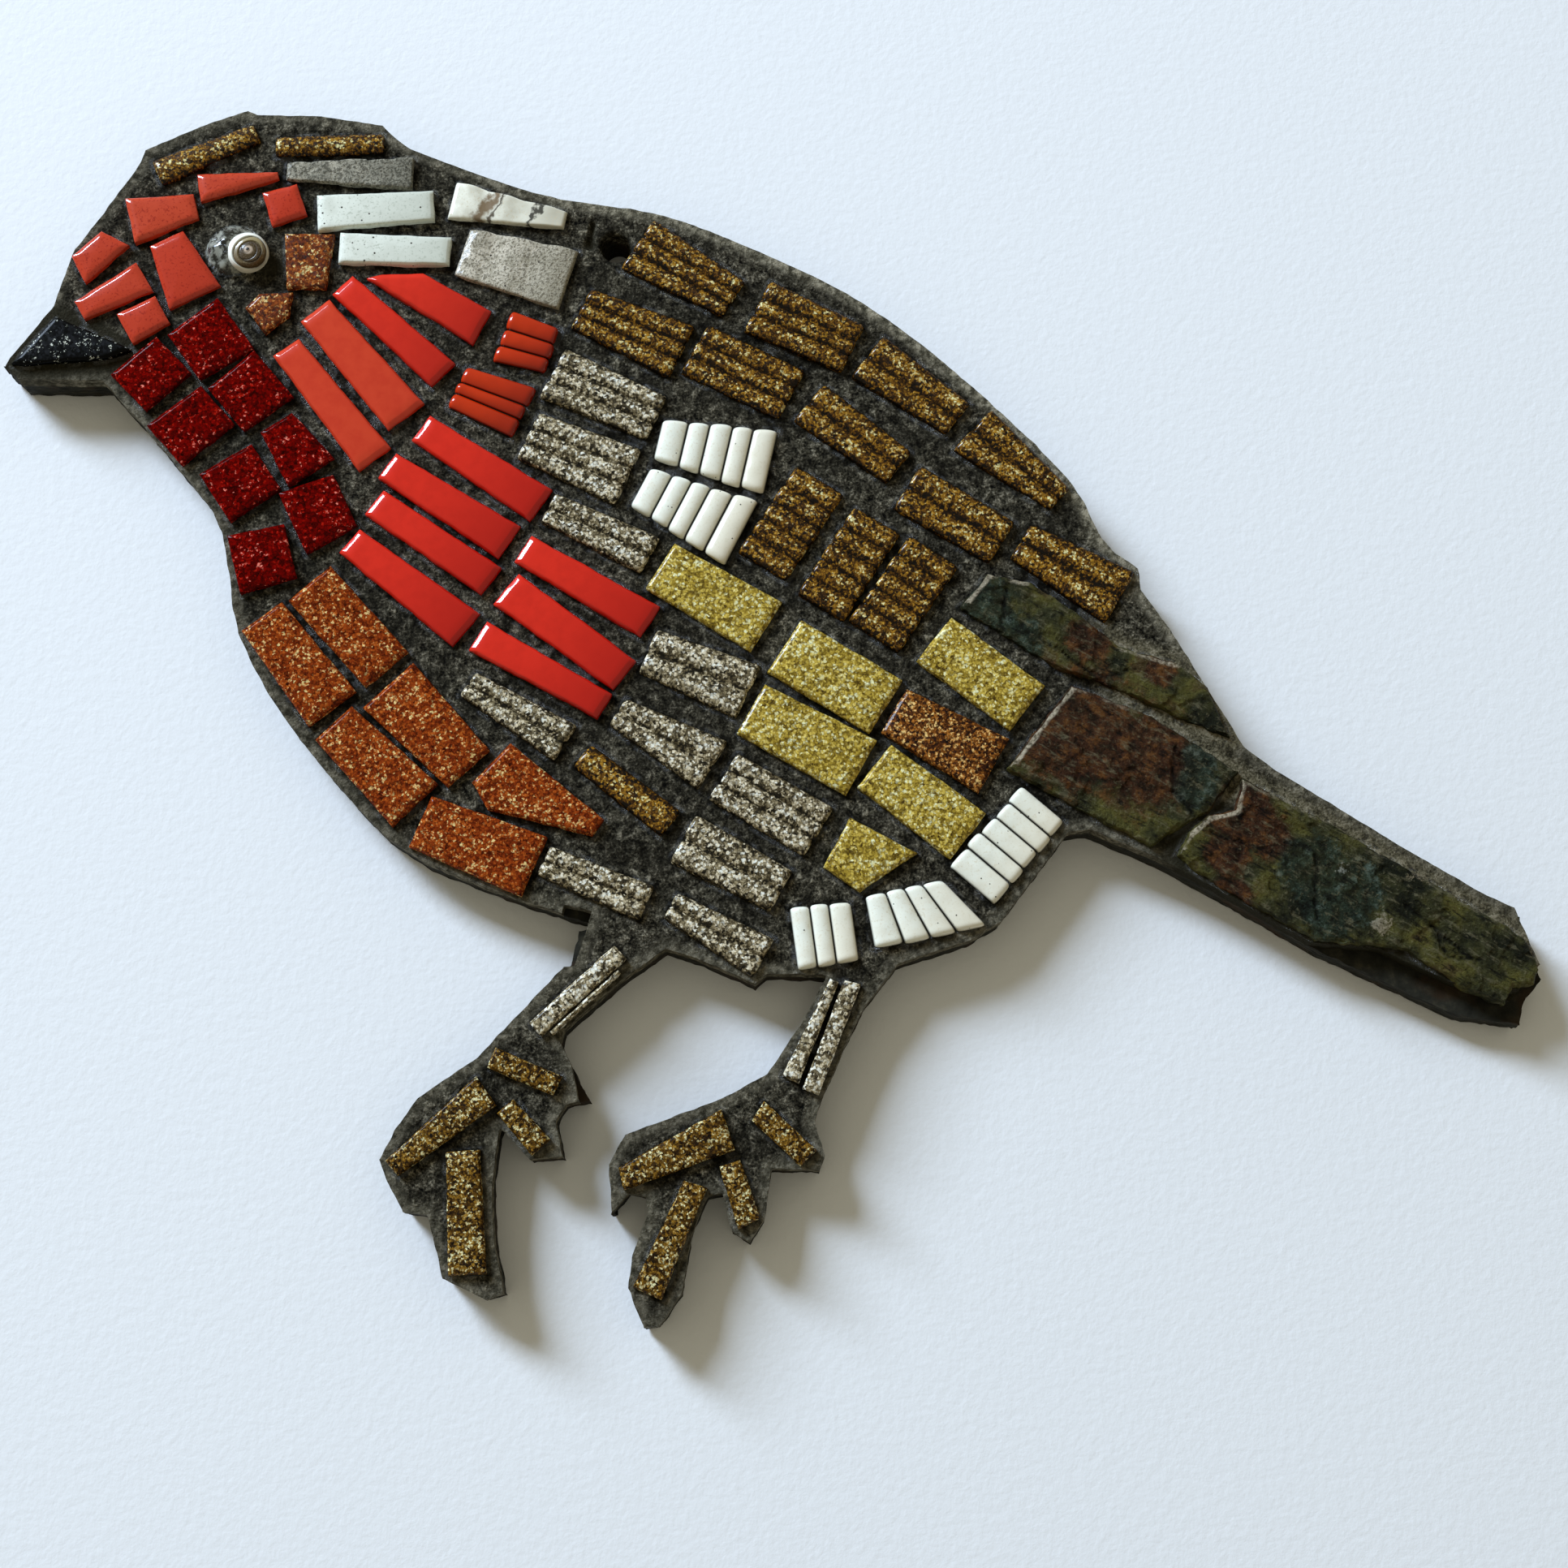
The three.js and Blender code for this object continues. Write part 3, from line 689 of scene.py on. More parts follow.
red = glaze("red_glaze", "#d82818", "#b0140a", "#cc4226", mottle=0.25, coat=0.8)
orange_red = glaze("orange_red_glaze", "#bc2e18", "#a22210", "#c0452a", pits=0.04, specks="#8c1408",
                   coat=0.8)
shoulder_red = glaze("shoulder_glaze", "#be3006", "#8e1a02", "#c84a30", groove_seam_and_shade="#120200", coat=0.8)
white = glaze("white_glaze", "#fffff0", "#e4e4d2", "#cfd8d2", pits=0.85, mottle=0.45, groove_seam_and_shade="#12110c",
              specks="#dcdcc8", pit_size=0.1)
pale = glaze("pale_glaze", "#e4f0e8", "#c8d2c8", "#b4b29e", pits=0.65, mottle=0.4, specks="#b0bcb0")
stained = glaze("stained_glaze", "#f8f6ea", "#c6c8b8", "#b4b29e", pits=0.4, mottle=0.6, specks="#d2ccb4",
                bands=((0.34, 0.07, "#6a5434"), (0.42, 0.03, "#3c2f1c"), (0.74, 0.035, "#15120c")))
grey_white = glaze("grey_white_glaze", "#e2e0d0", "#a4a290", "#c8c8bc", rough=0.45, pits=0.4, mottle=0.9,
                   specks="#5a5646", coat=0.3, grit=0.5, speck_from=0.48)
grey = glaze("grey_tile", "#c4c4b4", "#86877a", "#a4a69e", rough=0.6, pits=0.4, mottle=0.9, coat=0.05,
             specks="#3a3b30", grit=0.7, speck_from=0.46)
bronze = glitter("bronze_glitter", ("#0a0501", "#301c05", "#704c12", "#b48a2a", "#fff4bc"), size=0.44,
                 valley_shade=0.45)
foot_bronze = glitter("foot_glitter", ("#080401", "#2a1a05", "#5e4210", "#a07c2c", "#fff4c4"), size=0.42,
                      coat=0.2)
silver = glitter("silver_glitter", ("#15120a", "#564d36", "#988f70", "#e8e2c6", "#fffff4"),
                 places=(0.1, 0.32, 0.52, 0.72, 0.9))
gold = glitter("gold_glitter", ("#3c2c04", "#84701e", "#b09a3a", "#dcca64", "#fffcd0"), pits=0.08)
copper = glitter("copper_glitter", ("#300c02", "#6c260a", "#944012", "#bc6424", "#ffdc98"), size=0.45,
                 places=(0.05, 0.3, 0.6, 0.8, 0.95), coat=0.2, shine=0.0)
dark_red = glitter("dark_red_glitter", ("#200000", "#520100", "#760301", "#a81a0c", "#f09080"), size=0.55,
                   places=(0.05, 0.35, 0.76, 0.92, 1.0), coat=0.12, lean=0.15, shine=0.0)
dark_copper = glitter("dark_copper_glitter", ("#0c0402", "#3a1c08", "#6c3e14", "#b4742c", "#f4d088"),
                      size=0.42, places=(0.1, 0.34, 0.58, 0.78, 0.95), coat=0.2)
brown = glitter("brown_glitter", ("#1c0802", "#5a240b", "#844014", "#b87030", "#ffe4a4"),
                places=(0.05, 0.3, 0.6, 0.8, 0.95))
black = glitter("black_glitter", ("#000000", "#010101", "#030404", "#161c19", "#e8f4ec"), size=0.45,
                places=(0.05, 0.3, 0.74, 0.88, 0.97), coat=0.12)


def cross_ribs(tiles, count):
    """Flat tiles with ribs added across their length."""
    return [dict(tile, ribs=count, first=int(np.argmax(side_lengths(tile["corners"])))) for tile in tiles]


def thin_strip(tile):
    """A narrow strip of the same glass along the lower right side of a leg tile."""
    corners = tile["corners"]
    lengths = side_lengths(corners)
    ahead = (np.roll(corners, -1, axis=0) - corners) / lengths[:, None]
    outward = np.column_stack([ahead[:, 1], -ahead[:, 0]])
    side = int(np.argmax(np.where(lengths > 0.8 * lengths.max(), outward @ np.array([0.7, -0.7]), -9)))
    start = corners[side] + ahead[side] * lengths[side] * 0.08
    end = corners[side] + ahead[side] * lengths[side] * 0.88
    inner, outer = outward[side] * 0.45, outward[side] * 1.25
    strip = anticlockwise(np.array([start + inner, start + outer, end + outer, end + inner]))
    return dict(tile, corners=strip)


SAUSAGE = {
    "height": 1.0, "power": 0.5, "ends": 1.2, "notch": 0.7, "ragged": 0.12, "end_round": 1.0, "uneven": 0.08,
}
BEVELLED = {"end_round": 1.0, "side_round": 0.4, "drop": 0.55}
SOFT_WAVE = {
    "height": 0.35, "power": 0, "ends": 1.0, "notch": 0.1, "end_round": 0.5, "uneven": 0.2, "rough": 0.14,
}
LEG = {"end_round": 0.3, "side_round": 0.4}
TOE = {"end_round": 0.3, "side_round": 0.3}
EVEN = {"end_round": 0.6, "side_round": 0.6, "drop": 0.34}
# Start of a node's name, material, slot, and the shape of its tiles where it isn't the usual one.
FINISH = (
    ("beak_tile", black, "black_glitter", {}),
    ("cheek_tiles", brown, "brown_glitter", {}),
    ("throat_tiles", dark_red, "dark_red_glitter", {"flat": EVEN}),
    ("belly_tiles", copper, "copper_glitter", {}),
    ("dark_copper_tile", dark_copper, "dark_copper_glitter", {}),
    ("crown_tile", bronze, "bronze_glitter", {"ribbed": {"height": 0.9, "power": 0.5, "side_drop": 0.3}}),
    ("bronze_tile", bronze, "bronze_glitter", {}),
    ("silver_tile", silver, "silver_glitter", {}),
    ("gold_tile", gold, "gold_glitter", {}),
    ("chest_strips", red, "red_glaze", {"flat": BEVELLED}),
    ("shoulder_tiles", shoulder_red, "orange_red_glaze", {"ribbed": dict(SAUSAGE, uneven=0.25)}),
    ("red_head_tiles", orange_red, "orange_red_glaze", {"flat": dict(BEVELLED, side_round=0.8, drop=0.45)}),
    ("nape_tile_grey", grey, "grey_tile", {"ribbed": dict(SOFT_WAVE, height=0.12)}),
    ("nape_tile_4", grey_white, "grey_white_glaze", {"ribbed": SOFT_WAVE}),
    ("nape_tile_3", stained, "white_glaze", {"ribbed": SOFT_WAVE}),
    ("nape_tile", pale, "white_glaze", {}),
    ("white_tile", white, "white_glaze", {"ribbed": SAUSAGE}),
)
SOFT_RIBS = {"nape_tile_grey": 5, "nape_tile_4": 3, "nape_tile_3": 3}
SHOULDER_RIBS = 3
# How much of its glaze's second tint each tile of a course has.
TINTS = {
    "chest_strips_upper": lambda i: 0.85 if i < 2 else 0.1,
    "red_head_tiles": lambda i: float(random.uniform(0.2, 1.0)),
}
for node in sorted(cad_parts):
    if node in ("left_foot_tiles", "right_foot_tiles"):
        by_height = sorted(tiles_of(node), key=lambda tile: -tile["corners"][:, 1].mean())
        legs = by_height[:1] if node == "left_foot_tiles" else by_height[:2]
        toes = by_height[len(legs):]
        if node == "left_foot_tiles":
            legs = legs + [thin_strip(legs[0])]
        tile_piece(node, silver, "silver_glitter", "fine_leg_of_" + node, legs, flat=LEG)
        tile_piece(node, foot_bronze, "bronze_glitter", None, toes, flat=TOE)
        continue
    finish = next((row for row in FINISH if node.startswith(row[0])), None)
    if finish is None:
        continue
    tiles = tiles_of(node)
    if node in SOFT_RIBS:
        tiles = cross_ribs(tiles, SOFT_RIBS[node])
    if node == "shoulder_tiles":
        tiles = [dict(tile, ribs=SHOULDER_RIBS) for tile in tiles]
    tile_piece(node, finish[1], finish[2], tiles=tiles, tints=TINTS.get(node), **finish[3])


EDGE_DRAWN_IN = 0.3
FACE_DRAWN_IN = 1.0


def drawn_in(points):
    """How far the stone edge lies inside the drawn outline: more at the beak and the forehead."""
    face = grow(points[:, 0], -88, -8) * grow(points[:, 1], -14, 4)
    return EDGE_DRAWN_IN + (FACE_DRAWN_IN - EDGE_DRAWN_IN) * face


# Grout between the tiles.
s = Shader("grout")
grain = s.noise(0.45, 4.0, 0.7)
coarse = s.noise(1.6, 4.0, 0.65)
patch = s.noise(5.0, 4.0)
mixed = s.plus(s.times(grain, 0.5), s.times(coarse, 0.5))
s.colour = s.ramp(mixed, [(0.41, "#080806"), (0.47, "#2c2b23"), (0.54, "#504f44"), (0.62, "#969484")])
s.stain(s.level(patch, 0.56, 0.42, 0.0, 0.55), "#12110c")
# Painted shade: darker where the grout runs narrow between two tiles.
s.stain(s.times(s.attribute("narrow"), 0.72), "#080705")
# Painted shade: the grout is darker close beside the tiles.
crevice_shade = s.level(s.attribute("gap"), 0.9, 0.1)
s.stain(s.times(crevice_shade, 0.6), "#0a0a07")
# The rim slope is painted a paler, smoother grey, most along the bird's back: partly the grout's own finish,
# partly painted light on the slope that faces the lamp.
smooth_and_lit_rim = s.level(s.attribute("rim"), 2.8, 0.9)
streak = s.noise(1.2, 4.0, 0.7)
smooth_and_lit_rim = s.times(smooth_and_lit_rim, s.attribute("smooth"))
s.stain(smooth_and_lit_rim, s.ramp(streak, [(0.38, "#424136"), (0.5, "#747364"), (0.62, "#a8a694")]))
pale_stone = s.ramp(mixed, [(0.42, "#38362b"), (0.5, "#66634f"), (0.6, "#8e8a76")])
s.stain(s.attribute("pale"), pale_stone)
# Painted shadow and shade on the grout: below the tail's slates, around the beak, in the pit by the hole and
# below the eye.
s.stain(s.attribute("dark"), s.mix(grain, "#0c0c08", "#3a392c"))
glue = s.attribute("glue")
s.stain(glue, s.mix(s.level(coarse, 0.42, 0.6), "#181a16", "#8a9088"))
beside_tile = s.level(s.attribute("gap"), 1.0, 0.3)
wet = s.times(beside_tile, s.level(s.noise(2.5, 2.0), 0.45, 0.6))
gloss = s.math("MAXIMUM", wet, glue)
s.set(Base_Color=s.colour, Roughness=s.minus(0.72, s.times(gloss, 0.6)))
s.set(Specular_IOR_Level=s.plus(0.03, s.times(gloss, 0.6)))
relief = s.times(mixed, s.minus(1.0, s.times(glue, 0.95)))
s.set(Normal=s.bump(relief, 1.0, 0.9))

SLATES = [level_loops(f"tail_slate_{i}", TILE_BOTTOM)[0] for i in (1, 2, 3)]
polygons = list(SLATES)
for node in sorted(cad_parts):
    if not node.startswith(("tail_slate", "slate_base", "grout", "snail_shell_eye")):
        polygons.extend(tile["corners"] for tile in tiles_of(node))


def grid_inside(loop, step, margin):
    """Points of a slightly uneven grid inside a loop, no nearer to it than the margin."""
    low, high = loop.min(axis=0), loop.max(axis=0)
    x, z = np.meshgrid(np.arange(low[0], high[0], step), np.arange(low[1], high[1], step))
    points = np.column_stack([x.ravel(), z.ravel()])
    points += random.uniform(-0.22, 0.22, points.shape) * step
    points = points[inside(points, loop)]
    return points[loop_distance(points, loop) > margin]


def tile_gap(points):
    """Signed distance to the nearest tile, negative under it, and the distance to the next one."""
    best = np.full(len(points), FAR)
    second = np.full(len(points), FAR)
    for polygon in polygons:
        distance = loop_distance(points, polygon, 4.0)
        near = distance < FAR
        signed = distance.copy()
        signed[near] = np.where(inside(points[near], polygon), -distance[near], distance[near])
        closer = np.abs(signed) < np.abs(best)
        second = np.where(closer, np.abs(best), np.minimum(second, distance))
        best = np.where(closer, signed, best)
    return best, second


eye_low, eye_high = (np.array(corner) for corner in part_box("snail_shell_eye"))
EYE_SHIFT = np.array([-0.7, 0.8])
EYE = np.array([(eye_low[0] + eye_high[0]) / 2, (eye_low[2] + eye_high[2]) / 2]) * MM + EYE_SHIFT
EYE_RADIUS = float(eye_high[0] - eye_low[0]) / 2 * MM
GLUE_SPOT = EYE + np.array([-2.6, 1.2])
# A pit in the grout beside the hanging hole, and the end of the streak that runs up from it.
PIT = np.array([-4.6, 1.2])
PIT_STREAK = np.array([-3.6, 5.2])

# How far the grout lies below the tile faces, its slope at the rim, and the hole's mouth in it.
GROUT_SUNK = 1.4
RIM_WIDTH = 2.4
RIM_HEIGHT = 0.3
MOUTH_SCALE = 1.25
# The bed of the tail is pale on one side of a line through this place and carries a painted shadow on the
# other.
TAIL_PLACE = np.array([75, -92])
ACROSS_TAIL = np.array([0.61, 0.79])
# Centre of the shell's painted shadow on the grout, below and to the right of it.
EYE_SHADE = EYE + np.array([3.6, -2.4])

edge_line = resample(GROUT_LINE, 0.55)
edge_noise = value_noise(edge_line, 2.4, 3.0, 2) * 0.22
edge_line = moved(edge_line, normals_of(edge_line), edge_noise - drawn_in(edge_line))
field = grid_inside(GROUT_LINE, 0.45, 0.4)
field = field[tile_gap(field)[0] > -0.5]
hole_ring = HOLE * MOUTH_SCALE
plan, faces = triangulate(edge_line, [hole_ring], field)
gap, second_gap = tile_gap(plan)
# How narrow the grout is between its two nearest tiles, for the painted shade in narrow grooves.
narrow = unit(1 - (np.abs(gap) + second_gap - 1.2) / 1.8)
rim = loop_distance(plan, GROUT_LINE)
sunk = TILE_FACE - GROUT_SUNK
top = sunk + value_noise(plan, 4.5, 1.0, 2) * 0.3
climb = unit(1 - np.clip(gap, 0, 9) / 0.9) ** 2
top += 0.6 * climb * (0.4 + 0.9 * value_noise(plan, 4.0, 5.0))
slope = unit(rim / RIM_WIDTH)
depth = (BASE_THICK + RIM_HEIGHT) * (1 - slope) + top * slope
depth += value_noise(plan, 1.0, 2.0, 2) * 0.2 * np.clip(rim / 2.0, 0.2, 1)
to_eye = norm(plan - EYE, axis=1)
to_glue = norm(plan - GLUE_SPOT, axis=1)
mound = unit(1 - (to_eye - EYE_RADIUS) / 2.2)
glue_mound = unit(1 - (to_glue / (EYE_RADIUS + 1.2)) ** 2) ** 0.5
lumps = value_noise(plan, 1.8, 60.0, 2)
depth = np.maximum(depth, sunk + 0.9 * mound ** 1.5)
depth = np.where(glue_mound > 0, np.maximum(depth, sunk + glue_mound * (2.6 + 0.9 * lumps)), depth)
to_hole = norm(plan, axis=1)
depth -= unit(1 - (to_hole - 2.7) / 1.1) ** 2 * 0.7
pit = unit(1.3 - norm(plan - PIT, axis=1) / 1.1)
pit = np.maximum(pit, unit(1.2 - segment_distance(plan, PIT, PIT_STREAK) / 0.6))
depth -= pit * 1.0
plan_x, plan_z = plan[:, 0], plan[:, 1]
across_tail = (plan - TAIL_PLACE) @ ACROSS_TAIL
near_slate = np.min([loop_distance(plan, loop, 5.0) for loop in SLATES], axis=0)
pale_bed = grow(plan_x, 72, 6) * grow(across_tail, -9, 3) * unit(1.4 - near_slate / 2.2)
painted_shade_bed = grow(plan_x, 76, 6) * grow(across_tail, -7, -2)
beak = tiles_of("beak_tile")[0]["corners"]
# Painted shade on the grout around the beak.
painted_shade_bed = np.maximum(painted_shade_bed, np.clip(1.7 - loop_distance(plan, beak, 5.0) / 2.2, 0, 0.9))
# Painted shadow in the pit, cast by the tile beside it.
painted_shade_bed = np.maximum(painted_shade_bed, pit)
# Painted shadow of the shell below and to the right of it.
to_shade = norm(plan - EYE_SHADE, axis=1)
painted_shade_bed = np.maximum(painted_shade_bed, np.clip(1.5 - to_shade / 2.2, 0, 0.9))
# How strongly the rim is painted pale and smooth: partly the grout's finish, partly painted light where the
# bird's back faces the lamp.
smooth_and_lit_share = 0.38 + 0.55 * grow(plan_x, -30, 30) * grow(plan_z, -100, 40)
b = Builder()
b.add(raised(plan, depth), faces.tolist(), rim=rim, gap=gap, glue=unit(glue_mound * 3),
      pale=pale_bed * 0.9, dark=painted_shade_bed, smooth=smooth_and_lit_share, narrow=narrow)
n = len(edge_line)
wall = np.vstack([raised(edge_line, depth[:n]), raised(edge_line, GROUT_BOTTOM - 0.3)])
b.add(wall, turned_strip(n), rim=0.0, gap=5.0, smooth=0.6, dark=np.concatenate([painted_shade_bed[:n], painted_shade_bed[:n]]))
m = len(hole_ring)
mouth = np.vstack([raised(hole_ring, depth[n:n + m]), raised(HOLE, BASE_THICK - 1.0)])
b.add(mouth, strip_faces(2, m), rim=5.0, gap=5.0)
grout = b.make("fine_grout", s.material)
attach(grout, "root")
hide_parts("grout")

# Slate base.
s = Shader("slate")
layers = s.noise(1.2, 5.0, 0.6, s.math3("MULTIPLY", s.place, (0.35, 2.2, 0.35)))
patch = s.noise(7.0, 3.0)
s.colour = s.ramp(layers, [(0.3, "#12130f"), (0.55, "#292a24"), (0.8, "#4c4a3c")])
s.stain(s.times(s.level(patch, 0.5, 0.7), 0.5), "#3c2c1c")
s.set(Base_Color=s.colour, Roughness=0.7, Specular_IOR_Level=0.1)
s.set(Normal=s.bump(layers, 0.8, 0.3))

line = resample(OUTLINE, 0.8)
outward = normals_of(line)
levels = [0.5, 0.9, 1.4, 1.9, 2.4, 2.9, 3.4, 3.9, 4.4, 4.8, BASE_THICK]
inset = drawn_in(line)
rings = []
for level in levels:
    push = value_noise(line, 2.2, level * 0.55, 2) * 0.3 + value_noise(line, 1.0, level * 1.4 + 40) * 0.15
    rings.append(raised(moved(line, outward, push - 0.15 - inset), level))
back = raised(moved(line, outward, -(0.5 + inset)), 0.0)
b = Builder()
n = len(line)
b.add(np.vstack([back, *rings]), strip_faces(len(rings) + 1, n))
for level, ring, flip in ((0.0, back, True), (BASE_THICK, rings[-1], False)):
    extra = None if flip else grid_inside(mitred(OUTLINE, -1.0), 2.0, 0.5)
    cover, cover_faces = triangulate(ring[:, :2], [HOLE], extra)
    cover_depth = np.full(len(cover), level)
    if flip:
        cover_faces = cover_faces[:, ::-1]
    else:
        inner = slice(n + len(HOLE), None)
        cover_depth[inner] += value_noise(cover[inner], 5.0, 8.0, 2) * 0.15
    b.add(raised(cover, cover_depth), cover_faces.tolist())
bore = np.vstack([raised(HOLE, 0.0), raised(HOLE, BASE_THICK)])
b.add(bore, turned_strip(len(HOLE)))
base = b.make("fine_base", s.material, smooth=False)
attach(base, "root")
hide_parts("slate_base")

# Split slates of the tail. Rust, blue and pale say how strongly each stain shows at a point.
TAIL_ANGLE = math.radians(38)
s = Shader("split_slate")
grain = s.noise(0.7, 6.0, 0.7)
patch = s.noise(7.0, 3.0, 0.6)
flow = s.noise(2.5, 6.0, 0.7)
streaks = s.noise(1.3, 5.0, 0.65, s.turned(TAIL_ANGLE, (3.0, 1.0, 0.8)))
s.colour = s.ramp(patch, [(0.36, "#1c1f14"), (0.48, "#3a3c24"), (0.6, "#56552a"), (0.7, "#4a3e26")])
for name, start, strength, stops in (
    ("rust", 0.65, 0.95, [(0.4, "#24160e"), (0.52, "#43291a"), (0.62, "#644222")]),
    ("blue", 0.7, 0.85, [(0.42, "#151b16"), (0.55, "#2c3a30"), (0.66, "#5c6e66")]),
):
    shown = s.level(s.plus(s.attribute(name), s.times(flow, 0.9)), start, 1.0)
    s.stain(s.times(shown, strength), s.ramp(flow, stops))
pale_part = s.plus(s.times(s.attribute("pale"), 0.5), s.plus(grain, flow))
pale_stone = s.mix(s.attribute("blue"), "#8c836a", "#7e8c8c")
s.stain(s.level(pale_part, 1.35, 1.5), pale_stone)
for texture, low, high, strength, stain in (
    (grain, 0.54, 0.68, 0.4, "#7c7a60"), (streaks, 0.54, 0.68, 0.5, "#74725a"),
    (streaks, 0.46, 0.34, 0.8, "#0b0b08"), (grain, 0.46, 0.36, 0.5, "#0b0b08"),
):
    s.stain(s.level(texture, low, high, 0.0, strength), stain)
s.stain(s.attribute("crack"), "#080806")
# Pale broken edges, painted only where they face the lamp: partly the stone's own colour, partly painted
# light.
lit_broken_edge = s.level(s.attribute("lit_broken_edge"), 0.45, 0.8)
lit_broken_stone = s.mix(s.level(grain, 0.35, 0.6), "#5c5848", "#c8c2ac")
s.stain(s.times(lit_broken_edge, 0.75), lit_broken_stone)
s.set(Base_Color=s.colour, Roughness=0.5, Specular_IOR_Level=0.06)
s.set(Normal=s.bump(s.plus(grain, s.plus(flow, streaks)), 1.0, 0.7))


def blob(points, x, z, radius):
    """1 at a place and less away from it, with most of the fall inside the radius."""
    return np.exp(-((points[:, 0] - x) ** 2 + (points[:, 1] - z) ** 2) / radius ** 2)


# Stains by place and radius, and cracks by their two ends, all in plan mm.
RUST = (
    (68, -99, 11), (79, -106, 9), (73, -84, 4), (84, -91, 3), (94, -118, 6), (98, -122, 4), (90, -124, 4),
    (90, -131, 3.5),
)
BLUE = (
    (56, -77, 6), (62, -83, 4), (104, -128, 6), (109, -133, 6), (87, -112, 4), (88, -107, 3), (105, -136, 5),
)
PALE = ((114, -139, 3), (109, -129, 2), (122, -131, 3))
CRACKS = (
    ((84.5, -104.5), (83, -112)), ((83, -112), (86, -117)), ((66, -84), (74, -91)), ((74, -91), (80, -90)),
    ((88, -120), (97, -124)), ((105, -126), (103, -137)), ((118, -136), (127, -146)),
    ((60, -73.5), (58.5, -79)), ((122, -140), (124, -146)), ((124, -146), (129, -147)),
)
# Depths of the rings up a slate's side, and how far each lies inside its outline.
SIDE_RINGS = (
    (TILE_BOTTOM, 0.1), (TILE_BOTTOM + 1.1, 0.05), (TILE_BOTTOM + 2.0, 0.0), (TILE_FACE - 0.55, 0.1),
)
UP_AND_LEFT = np.array([-0.55, 0.83])
for number, loop in enumerate(SLATES, 1):
    line = resample(loop, 0.6)
    outward = normals_of(line)
    line = moved(line, outward, value_noise(line, 2.5, number * 3.0, 3) * 0.5)
    rings = []
    n = len(line)
    for level, inset in SIDE_RINGS:
        push = value_noise(line, 1.2, level * 1.7, 2) * 0.3
        rings.append(raised(moved(line, outward, push - inset), level))
    rim_line = line - outward * 0.35
    cover, cover_faces = triangulate(rim_line, (), grid_inside(loop, 0.5, 0.7))
    steps = value_noise(cover, 9.0, number * 9.0, 3) * 3.4
    terrace = np.floor(steps) + unit((steps - np.floor(steps)) * 6)
    cover_depth = TILE_FACE + 0.3 * terrace + value_noise(cover, 1.6, number + 0.5, 3) * 0.3
    crack = np.zeros(len(cover))
    waves = [value_noise(cover, 2.5, seed, 2) for seed in (80.0, 90.0)]
    wavy = cover + 0.8 * np.column_stack(waves)
    for start, end in CRACKS:
        crack = np.maximum(crack, unit(1 - segment_distance(wavy, np.array(start), np.array(end)) / 0.55))
    cover_depth -= 0.4 * crack
    inner = loop_distance(cover, loop)
    cover_depth -= unit(1 - inner / 1.1) ** 2 * (0.35 + 0.5 * np.abs(value_noise(cover, 3.0, 30 + number)))
    # Broken edges are pale where they face up and to the left, towards the lamp: partly the broken stone's
    # own colour, partly painted light.
    nearest = np.argmin(norm(cover[:, None, :] - line[None, :, :], axis=2), axis=1)
    facing = unit(outward[nearest] @ UP_AND_LEFT)
    lit_broken_edge = unit(1.7 - inner / 1.1) * facing ** 0.5
    lit_broken_edge *= unit(0.95 + 1.1 * value_noise(cover, 4.0, 70 + number, 2))
    b = Builder()
    sides = np.vstack(rings + [raised(rim_line, cover_depth[:n])])
    for points, own_faces, own in (
        (sides, strip_faces(len(rings) + 1, n), {}),
        (raised(cover, cover_depth), cover_faces.tolist(), {"lit_broken_edge": lit_broken_edge, "crack": crack}),
    ):
        stains = [np.max([blob(points, *spot) for spot in spots], axis=0) for spots in (RUST, BLUE, PALE)]
        b.add(points, own_faces, rust=stains[0], blue=stains[1], pale=stains[2], **own)
    piece = b.make(f"fine_tail_slate_{number}", s.material, smooth=False)
    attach(piece, "root")
    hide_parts(f"tail_slate_{number}")

# The eye: a small snail shell seen from its tip.
s = Shader("shell")
whorl = s.attribute("whorl")
fine = s.noise(0.25, 3.0)
s.colour = s.ramp(whorl, [
    (0.0, "#f4f2ea"), (0.3, "#fbf9f2"), (0.31, "#4e3c1e"), (0.5, "#988e68"), (0.6, "#3c2e18"),
    (0.82, "#4a3c22"), (0.88, "#b8aa98"), (0.93, "#b8aa98"), (0.95, "#080604"),
])
s.stain(s.times(s.attribute("seam"), 0.6), "#1a120a")
s.stain(s.level(fine, 0.5, 0.75, 0.0, 0.15), "#efe8d6")
s.set(Base_Color=s.colour, Roughness=0.35, Specular_IOR_Level=0.3, Coat_Weight=0.4, Coat_Roughness=0.12)
around, outward_steps = 96, 64
EYE_PROFILE = ((0.0, -2.2), (0.12, 0.9), (0.2, 1.5), (0.32, 1.95), (0.5, 2.1), (0.75, 2.3), (1.0, 2.45))
points, whorl, seam = [], [], []
